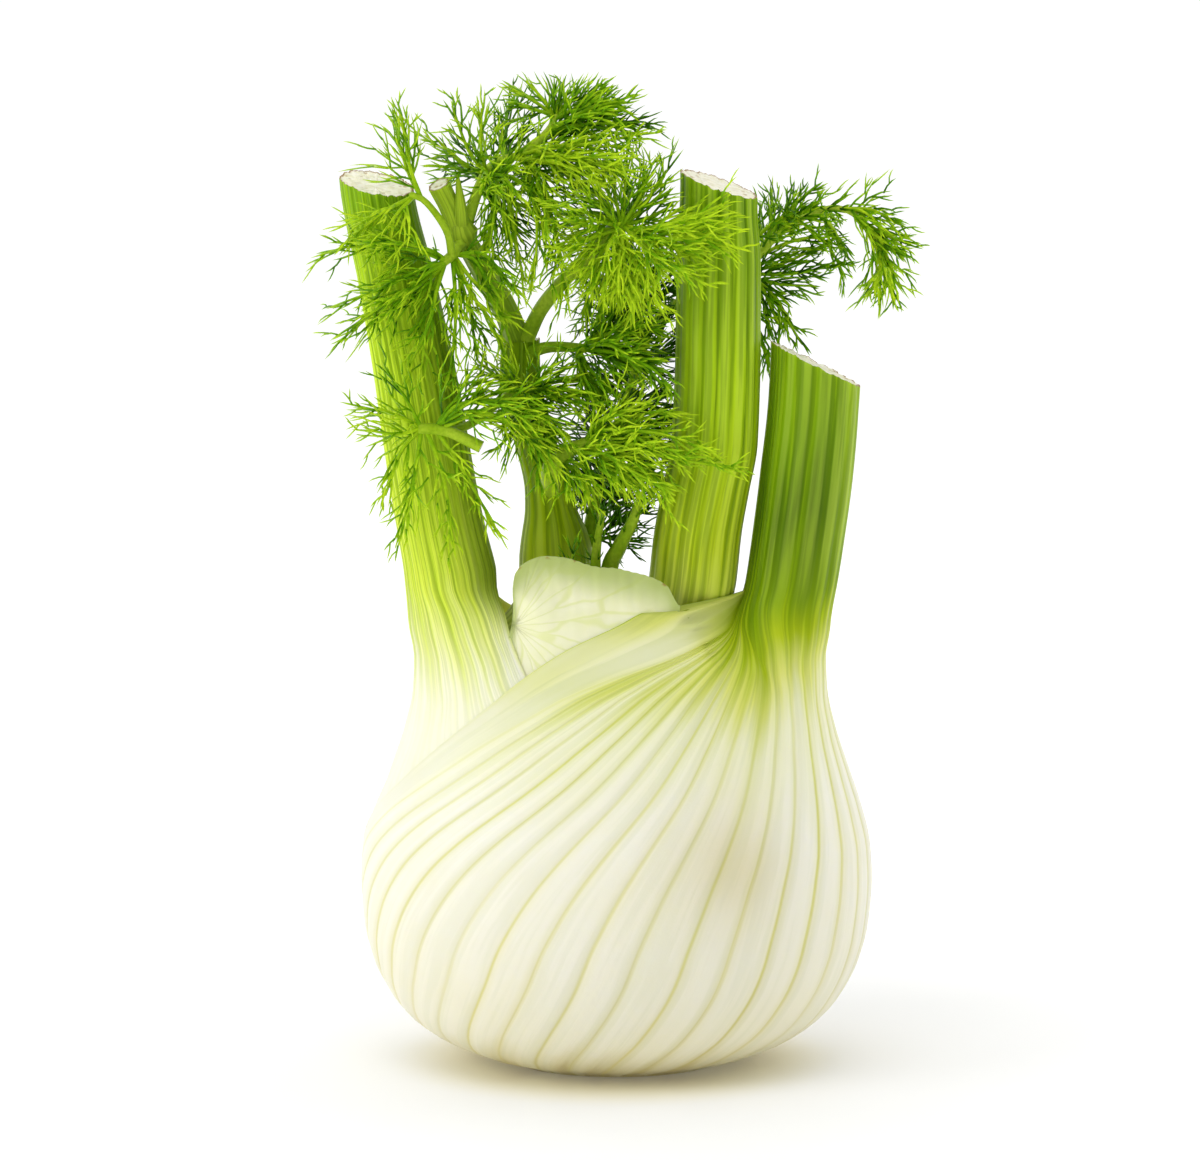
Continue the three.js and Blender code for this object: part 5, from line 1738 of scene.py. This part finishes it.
FRONDS = (
    Frond(
        "frond_left", "frond_green", 3, 10.5, 0.62,
        (
            Stem([(-29.6, -4, 161.5), (-31, -8, 159.5), (-33, -11.5, 158)], (1.4, 0.9), 6),
            Stem([
                (-31.6, -10, 158.8), (-32.6, -12, 164), (-36.5, -13, 169.5), (-39.5, -13, 171),
            ], (0.8, 0.6), 5),
        ),
        (
            ((-32.5, -11, 158), (-39.5, -13.5, 160.5), (-51, -14, 161), (-55, -12, 159.5)),
            ((-32.5, -11, 158), (-38, -13.5, 156.5), (-44, -14, 153.5), (-51.5, -12, 150.5)),
            ((-33, -11, 157.5), (-39.5, -14, 152.5), (-44.5, -14, 150), (-51.5, -12, 145)),
            ((-33, -10, 157.5), (-34.5, -13, 152.5), (-36, -14, 146), (-39.5, -13, 138.5)),
            ((-31.5, -9, 158.5), (-31, -12, 152.5), (-31, -13, 144.5), (-32, -13, 136.5)),
            ((-31, -8, 158.5), (-28, -11, 152), (-24.5, -11, 147), (-22, -9, 140.5)),
            ((-30.5, -8, 159), (-26, -10, 159.5), (-22.5, -12, 156.5), (-20, -12, 153)),
            ((-39, -12.5, 170.5), (-45, -14, 167.5), (-50.5, -14, 162.5)),
            ((-37.5, -12.5, 170.5), (-39.5, -14, 176.5), (-41, -14, 186)),
        ),
        spread=(18.0,),
    ),
    Frond(
        "frond_crown", "frond_green", 5, 10.5, 0.84,
        (
            Stem([
                (-29.2, -3.6, 163.5), (-26.5, -2, 171.5), (-23.5, -1, 176), (-18, 0, 178), (-13, 0, 182.5),
                (-12, 0, 185.5),
            ], (1.2, 0.6), 6),
        ),
        (
            ((-12, 0, 185), (-15, -2, 187.5), (-20, -3, 190.5)),
            ((-12, 0, 184), (-12, 1, 187), (-12.3, 2, 190)),
            ((-12, 0, 184.5), (-7, 3, 187), (-3.5, 4, 189.5)),
            ((-13, 0, 182.5), (-4.5, -3, 187), (1.5, -5, 188.5)),
            ((-14, 1, 181.5), (-4, 3, 183.5), (4.5, 5, 183.5)),
            ((-17, 0, 178.5), (-6, -5, 180), (6, -8, 182.5)),
            ((-20.5, 0, 177), (-11, -8, 176.5), (-4, -12, 173.5)),
            ((-18, 1, 178), (-9, 9, 177), (-1, 14, 174.5)),
            ((-21.5, 0, 177), (-21.5, 5, 181.5), (-21, 8, 186.5)),
            ((-25, -2, 174), (-28.5, -6, 179), (-31.5, -8, 187.5)),
            ((-26, -2, 172), (-22.5, -9, 174.5), (-19, -14, 171.5)),
            ((-26.5, -2, 171), (-21, 2, 169), (-14, 4, 165)),
            ((-26, -2, 172.5), (-28.5, 6, 174), (-32, 12, 176.5)),
            ((-23.5, -1, 176), (-19, 9, 173.5), (-15, 16, 168)),
            ((-18, 0, 178), (-13, -6, 168), (-10.5, -9.5, 157), (-10.5, -9, 150.5)),
            ((-22.5, -1, 176.5), (-20, -5, 165), (-18, -7, 154)),
        ),
        spread=(18.0, -24.0),
    ),
    Frond(
        "frond_star", "frond_green", 7, 10.5, 0.8,
        (
            Stem([
                (-17.5, 5, 141.5), (-14, 1, 148.5), (-7.5, -5, 156.5), (0.5, -9, 164.5),
            ], (1.6, 1.3, 1.0), 7),
        ),
        (
            ((1, -9, 164.5), (1.5, -10, 170.5), (2, -8, 178)),
            ((0.5, -9, 164.5), (-3, -5, 170), (-8, 0.5, 172.5)),
            ((0.5, -9, 164.5), (-6, -12, 167.5), (-12, -13, 169)),
            ((0.5, -9, 164), (-5, -13, 162.5), (-9.5, -15, 159.5)),
            ((0, -9, 163.5), (-3, -12, 159.5), (-5, -12, 153.5)),
            ((1, -9, 164), (4.5, -13, 156), (8, -13, 150)),
            ((1, -8, 163.5), (1.5, -9, 155.5), (3.5, -8, 148)),
            ((1.5, -9, 164.5), (6.5, -13, 160.5), (12, -14, 156.5), (16.5, -14, 154.5)),
            ((1.5, -9, 164.5), (8.5, -12, 162.5), (14.5, -14, 163), (21, -15, 161)),
            ((4, -10.5, 164), (12.5, -14, 166), (19.5, -15, 169)),
            ((1.5, -9, 165), (5, -8, 168), (9.5, -6, 175)),
            ((1, -8, 164.5), (2.5, 0, 167.5), (4.5, 8, 170)),
            ((-1, -8, 162.5), (-4, -6, 157), (-6, -4, 149)),
        ),
        spread=(20.0, -26.0),
        spacing=2.3,
    ),
    Frond(
        "frond_low_left", "frond_green", 19, 10, 0.6,
        (
            Stem([(-26, -14, 122.5), (-32.5, -13.2, 125.5), (-38, -12.8, 126)], (1.25, 1.1), 6),
            Stem([(-20.5, 3, 131), (-24, -3, 129), (-28, -9, 126.5), (-32, -13, 125.3)], (0.9, 0.8), 5),
        ),
        (
            ((-37.5, -12.5, 126), (-42, -14, 128.5), (-49, -12, 130)),
            ((-37.5, -12.5, 126), (-42, -14, 125), (-48, -12, 125.5)),
            ((-37.5, -12.5, 126), (-41.5, -14, 121.5), (-44.5, -13, 113)),
            ((-37.5, -12.5, 126), (-38.5, -14, 119.5), (-41.5, -13, 105.5)),
            ((-36.5, -13, 125.5), (-33.5, -14, 117.5), (-31.5, -14, 104.5)),
            ((-34.5, -13, 125.5), (-29, -13, 117), (-23.5, -12, 106.5)),
            ((-35, -13, 125.5), (-32, -14, 130.5), (-28.5, -14, 132.5)),
            ((-37.5, -13, 126), (-40.5, -14, 132), (-43, -14, 135)),
            ((-34, -13.5, 127), (-27, -15, 131.5), (-18, -15, 130.5), (-10, -14, 125)),
            ((-33, -13.5, 126.5), (-26, -15, 129), (-18, -15, 126), (-12, -14, 119)),
        ),
        spread=(20.0, -16.0),
        lone_below=23.0,
        cut_stem=0,
    ),
    Frond(
        "frond_low_right", "frond_green", 17, 9.5, 0.7,
        (
            Stem([
                (-12.8, 2, 112.5), (-12.9, -3, 115.5), (-11.8, -6.5, 118.5), (-9.5, -9, 121),
                (-5, -11, 123.5),
            ], (1.9, 1.9, 0.9), 7),
        ),
        (
            ((-5, -11, 123.5), (2.5, -13, 125.5), (10.5, -14, 124.5), (17, -14, 122)),
            ((-6.5, -10.5, 122.5), (2.5, -13, 122), (12.5, -14, 120), (22.5, -14, 118.5)),
            ((-8.5, -10, 121.5), (-1.5, -12, 118.5), (6.5, -12, 117)),
            ((-6, -11, 123), (-1.5, -12, 128), (4.5, -12, 130.5)),
            ((-11, -8, 119), (-7.5, -11, 117), (-6, -12, 113)),
        ),
    ),
    Frond(
        "frond_middle", "frond_green", 11, 10, 0.52,
        (Stem([(-17.5, 5, 138.5), (-14, 2, 140), (-10.5, -1, 140.5), (-6, -4, 140.5)], (1.4, 0.9), 6),),
        (
            ((-6, -4, 140.5), (-0.5, -8, 140), (6.5, -11, 137.5), (11, -11, 133)),
            ((-6.5, -4, 140.5), (-1.5, -5, 143.5), (4.5, -4, 145), (10, -3, 142.5)),
            ((-7.5, -3, 140.5), (-5, -6.5, 136.5), (-1, -8, 132.5), (3, -7.5, 128.5)),
            ((-6.5, -4, 140.5), (0.5, -2, 140), (6.5, 0, 139)),
        ),
    ),
    Frond(
        "frond_mid_left", "frond_green", 13, 9.5, 0.46,
        (Stem([(-16.5, 5, 126), (-17, 0, 129), (-17.4, -6, 132.3)], (1.2, 0.8), 6),),
        (
            ((-17, -6, 132), (-15, -11, 126), (-14.5, -12, 121), (-15.5, -12, 117)),
            ((-17, -6, 132.5), (-12, -10, 132), (-7, -12, 130.5)),
            ((-17, -6, 132.5), (-14, -9, 134.5), (-10, -10, 135.5)),
            ((-17, -5, 132), (-21, -9, 134), (-23.5, -10, 137)),
        ),
    ),
    Frond(
        "frond_back", "frond_shaded", 23, 11, 0.58,
        (
            Stem([
                (-5, 6, 82), (-5, 8.6, 98), (-5, 10, 104.5), (-2, 12, 115), (2, 14, 127), (4.5, 15, 139),
                (4.5, 15, 148.5),
            ], (1.5, 0.8), 6),
        ),
        (
            ((-1, 12, 117.5), (4.5, 14, 119.5), (9, 14, 117)),
            ((0, 13, 120), (-3, 16, 125), (-4, 18, 130.5)),
            ((1.5, 14, 125), (6.5, 12, 128), (11, 10, 127.5)),
            ((2.5, 14, 128.5), (-1, 18, 134), (-3, 20, 140)),
            ((4, 15, 134.5), (7.5, 13, 139), (10, 12, 145)),
            ((4.5, 15, 141), (0, 20, 145), (-3, 22, 151.5)),
            ((4.5, 15, 146.5), (6.5, 18, 151), (10, 20, 153.5)),
            ((4.5, 15, 148.5), (2, 17, 154), (-2, 18, 157.5)),
            ((-2, 12, 114.5), (-5, 18, 113), (-8, 22, 109)),
            ((0.5, 13, 122.5), (6.5, 20, 120.5), (10, 26, 117)),
            ((4.5, 15, 145), (4.5, 24, 149.5), (3, 30, 154.5)),
            ((-5, 9.5, 101), (0, 10, 104.5), (4.5, 9, 107)),
            ((-4.5, 10, 104.5), (-5.5, 12, 109), (-6, 13, 114)),
            ((-3, 11, 110), (2, 7, 112.5), (7, 4, 114)),
        ),
    ),
    Frond(
        "frond_far_right", "frond_shaded", 29, 8.5, 1.2,
        (
            Stem([
                (4, 15.5, 137), (7, 17, 143), (14.5, 15.5, 149), (24, 13.5, 153.5), (29, 12, 158.5),
                (33, 11, 162.5), (39.5, 10, 166), (44, 9, 166.5), (48, 8, 164), (50.5, 7, 159.5),
            ], (1.0, 0.5), 5),
        ),
        (
            ((24, 13.5, 153.5), (33, 11, 162.5), (44, 9, 166.5), (51, 7, 159)),
            ((24, 13.5, 153.5), (34, 12, 153.5), (43, 10, 155.5)),
            ((25, 13.5, 154), (31, 13, 149), (34, 13.5, 143.5), (36.5, 13.5, 139.5)),
            ((22, 14, 152.5), (27, 13, 145), (29.5, 12, 136)),
            ((28.5, 12, 157.5), (30, 14, 162.5), (30.5, 15, 168)),
            ((33, 11, 162.5), (35, 8, 167.5), (38, 6, 170.5)),
            ((39.5, 10, 166), (42.5, 14, 162), (44.5, 17, 158)),
            ((44, 9, 166.5), (49.5, 7, 166.5), (53.5, 6, 164.5)),
            ((48, 8, 164), (52.5, 7, 161.5), (57, 7, 160)),
            ((50.5, 7, 159.5), (51.5, 6, 154), (48.5, 5, 150)),
            ((50, 7, 160.5), (53.5, 8, 155.5), (54, 8, 149)),
            ((14.5, 15.5, 149), (16, 21, 153.5), (16, 26, 158)),
            ((18, 15, 151), (20, 21, 149), (22, 27, 145)),
        ),
        spread=(20.0, -22.0),
        spacing=1.8,
    ),
)


@dataclass(frozen=True)
class Heart:
    """The root plate, the core inside the leaves, and the youngest shoots."""

    seed: int = 43
    plate: tuple[float, float, float] = (17, 15.2, 2.4)
    half_width: Profile = Profile(
        (0, 10), (12, 15.5), (26, 16.8), (44, 16.2), (60, 11.5), (72, 7), (80, 4), (86, 2.6),
    )
    half_depth: Profile = Profile(
        (0, 7), (12, 9.6), (26, 9), (44, 8.2), (60, 5.2), (72, 4.4), (80, 3.8), (86, 2.6),
    )
    foot: float = 1.5
    top: float = 86.0
    sides: int = 48
    rows: int = 40
    shoots: tuple[Stem, ...] = (
        Stem([
            (-1.5, 0, 80), (-1.5, -1.5, 96), (0.5, -2.5, 101.5), (3, -3.5, 106.5), (4.5, -4, 110.5),
        ], (2, 1.7, 0.8), 6),
        Stem([(-3, -1, 80), (-4, -3, 96), (-3.8, -4, 102), (-2.6, -4.5, 109)], (1.5, 1.2, 0.5), 6),
        Stem([(-4, -4, 80), (-7, -7.5, 93), (-8.6, -8.5, 97.5), (-8.4, -8.5, 101)], (1.4, 1.0, 0.25), 5),
    )

    def oval(self, half_width: Array, half_depth: Array, height: Array) -> Array:
        """Gives rings of an upright oval form, one row a height.

        Args:
            half_width: Half its width at each height.
            half_depth: Half its depth there.
            height: The heights.

        Returns:
            Points by ring and turn.
        """
        turn = np.linspace(0, 2 * math.pi, self.sides, endpoint=False)[None]
        x = np.asarray(half_width)[:, None] * np.sin(turn)
        y = -np.asarray(half_depth)[:, None] * np.cos(turn)
        return np.stack(np.broadcast_arrays(x, y, np.asarray(height)[:, None]), axis=-1)

    def closed_faces(self, rows: int) -> list[Array]:
        """Gives the faces of an oval form with that many rings, closed below and above."""
        ring = np.arange(self.sides)[None]
        return [grid_faces(rows, self.sides, True), ring[:, ::-1], ring + (rows - 1) * self.sides]

    def build(self) -> list[bpy.types.Object]:
        """Makes the heart's two pieces.

        Returns:
            The root plate, and the core with its shoots.
        """
        wide, deep, tall = self.plate
        inset = np.array([0.3, 0.6, 0.95, 1.0, 1.0])
        plate = self.oval(wide * inset, deep * inset, np.array([0, 0, 0, 0.4, tall]))
        uneven = 0.12 * (1 + ripples(plate[:3, :, 0] * 0.3, plate[:3, :, 1] * 0.3, 5))
        plate[:3, :, 2] += uneven * np.array([[1], [1], [0.3]])
        root = Skin()
        root.add(plate.reshape(-1, 3), self.closed_faces(len(inset)), 0)
        plate_piece = root.build("root_plate", [material_of(Finish.ROOT)], sharp_above=50)
        heights = np.linspace(self.foot, self.top, self.rows)
        core = self.oval(self.half_width(heights), self.half_depth(heights), heights)
        skin = Skin()
        skin.add(core.reshape(-1, 3), self.closed_faces(self.rows), 0, rise=core[..., 2].ravel() / TALLEST)
        for shoot in self.shoots:
            shoot.add_to(skin, 1, tone=0.6)
        threads = Threads(random.Random(self.seed))
        for shoot in self.shoots:
            tip = [Vector(p) for p in curve_points(shoot.path, 9)]
            for i in (5, 6, 7, 8):
                for side in (0, 120, 240):
                    way = (tip[i] - tip[i - 1]).normalized()
                    lean = threads.sideways(way, side + 50 * i)
                    threads.grow(tip[i], (way + lean * 0.6).normalized(), way, 4.2, 1, 0.35)
        threads.add_to(skin, 2)
        finishes = [
            material_of(finish) for finish in (Finish.CENTRE_LEAF, Finish.FROND_STEMS, Finish.THREADS)
        ]
        made = skin.build("heart_shoots", finishes, sharp_above=60)
        return [settle(piece, "heart") for piece in (plate_piece, made)]


# Stage, lights and camera


@dataclass(frozen=True)
class Studio:
    """A white table in soft light, seen from a little above."""

    target: Point = (-3.2, 0.0, 94.75)
    distance: float = 1200.0
    elevation: float = 8.0
    lens: float = 184.7
    table_size: float = 14.0
    table_drop: float = 0.0002
    lit_point: Point = (0.0, 0.0, 0.09)
    lamps: tuple[tuple[str, Point, float, float], ...] = (
        ("left_window", (-1.0, -0.45, 0.55), 0.6, 3.75),
        ("right_rim", (0.9, 0.3, 0.4), 0.5, 0.9),
        ("overhead", (-0.1, -0.45, 1.05), 0.7, 2.5),
    )

    def camera(self) -> None:
        """Stands the camera at the photograph's viewing angle."""
        data = bpy.data.cameras.new("camera")
        data.lens = self.lens
        data.sensor_width = 36.0
        data.clip_start = 0.05
        data.clip_end = 50.0
        camera = bpy.data.objects.new("camera", data)
        bpy.context.scene.collection.objects.link(camera)
        tilt = math.radians(self.elevation)
        target = Vector(self.target) * MM
        back = Vector((0, -math.cos(tilt), math.sin(tilt)))
        camera.location = target + back * self.distance * MM
        camera.rotation_euler = (-back).to_track_quat("-Z", "Y").to_euler()
        bpy.context.scene.camera = camera

    def table(self) -> None:
        """Lays the pale table top, with a painted warm shadow round the bulb's foot and a painted glow."""
        half = self.table_size / 2
        mesh = bpy.data.meshes.new("table")
        corners = [(-half, -half, 0), (half, -half, 0), (half, half, 0), (-half, half, 0)]
        mesh.from_pydata([(x, y, -self.table_drop) for x, y, _ in corners], [], [(0, 1, 2, 3)])
        made, wiring = new_material("table_white")
        place = wiring.place()
        away = wiring.add("ShaderNodeVectorMath", operation="LENGTH")
        wiring.feed(away.inputs[0], place)
        away = away.outputs["Value"]
        # Painted shadow: a warm, darker colour on the table close round the bulb's foot.
        painted_warm_shadow = wiring.spread(away, 0.026, 0.046, (1.0, 0.0))
        wiring.surface(
            Base_Color=wiring.mixed(painted_warm_shadow, (0.9, 0.9, 0.9), (0.88, 0.83, 0.62)),
            Roughness=wiring.spread(wiring.noise(place, 40.0), 0.3, 0.7, (0.5, 0.56)),
            Specular_IOR_Level=0.1,
            # Painted glow: the table glows, faintly near the bulb so the contact shadow stays dark and more
            # further off; it also lights the bulb from below.
            Emission_Color=(1.0, 1.0, 1.0),
            Emission_Strength=wiring.spread(away, 0.045, 0.2, (0.08, 0.31)),
        )
        mesh.materials.append(made)
        top = bpy.data.objects.new("table", mesh)
        bpy.context.scene.collection.objects.link(top)

    def hang(self, name: str, place: Point, size: float, power: float) -> None:
        """Hangs a soft square light that faces the bulb.

        Args:
            name: Its name.
            place: Its place in metres.
            size: Its side in metres.
            power: Its power in watts.
        """
        data = bpy.data.lights.new(name, "AREA")
        data.size = size
        data.energy = power
        made = bpy.data.objects.new(name, data)
        bpy.context.scene.collection.objects.link(made)
        made.location = place
        aim = Vector(self.lit_point) - Vector(place)
        made.rotation_euler = aim.to_track_quat("-Z", "Y").to_euler()

    def surroundings(self) -> None:
        """Fills the room with white light, a little less from the viewer's side."""
        world = bpy.data.worlds.new("room")
        world.use_nodes = True
        wiring = Wiring(world.node_tree)
        way = wiring.add("ShaderNodeSeparateXYZ")
        wiring.feed(way.inputs[0], wiring.add("ShaderNodeTexCoord").outputs["Generated"])
        background = wiring.add("ShaderNodeBackground")
        background.inputs["Color"].default_value = (1, 1, 1, 1)
        around = wiring.spread(way.outputs["Y"], -0.7, 0.6, (0.32, 0.86))
        above = wiring.spread(way.outputs["Z"], 0.2, 1.0, (0.0, 0.3))
        wiring.feed(background.inputs["Strength"], wiring.maths("ADD", around, above))
        output = wiring.add("ShaderNodeOutputWorld")
        wiring.feed(output.inputs["Surface"], background.outputs[0])
        bpy.context.scene.world = world

    def build(self) -> None:
        """Sets up the whole studio."""
        self.camera()
        self.table()
        self.surroundings()
        for lamp in self.lamps:
            self.hang(*lamp)
        bpy.context.scene.view_settings.view_transform = "Standard"


def main() -> None:
    """Sets up the studio and builds every piece in order."""
    logging.basicConfig(level=logging.INFO, format="%(message)s")
    Studio().build()
    builders = (RIGHT_LEAF, LEFT_LEAF, REAR_LEAF, CENTRE_LEAF, Hood(), RearBranches(), Heart(), *FRONDS)
    for builder in builders:
        for piece in builder.build():
            LOG.info("built %s", piece.name)


if __name__ == "__main__":
    main()
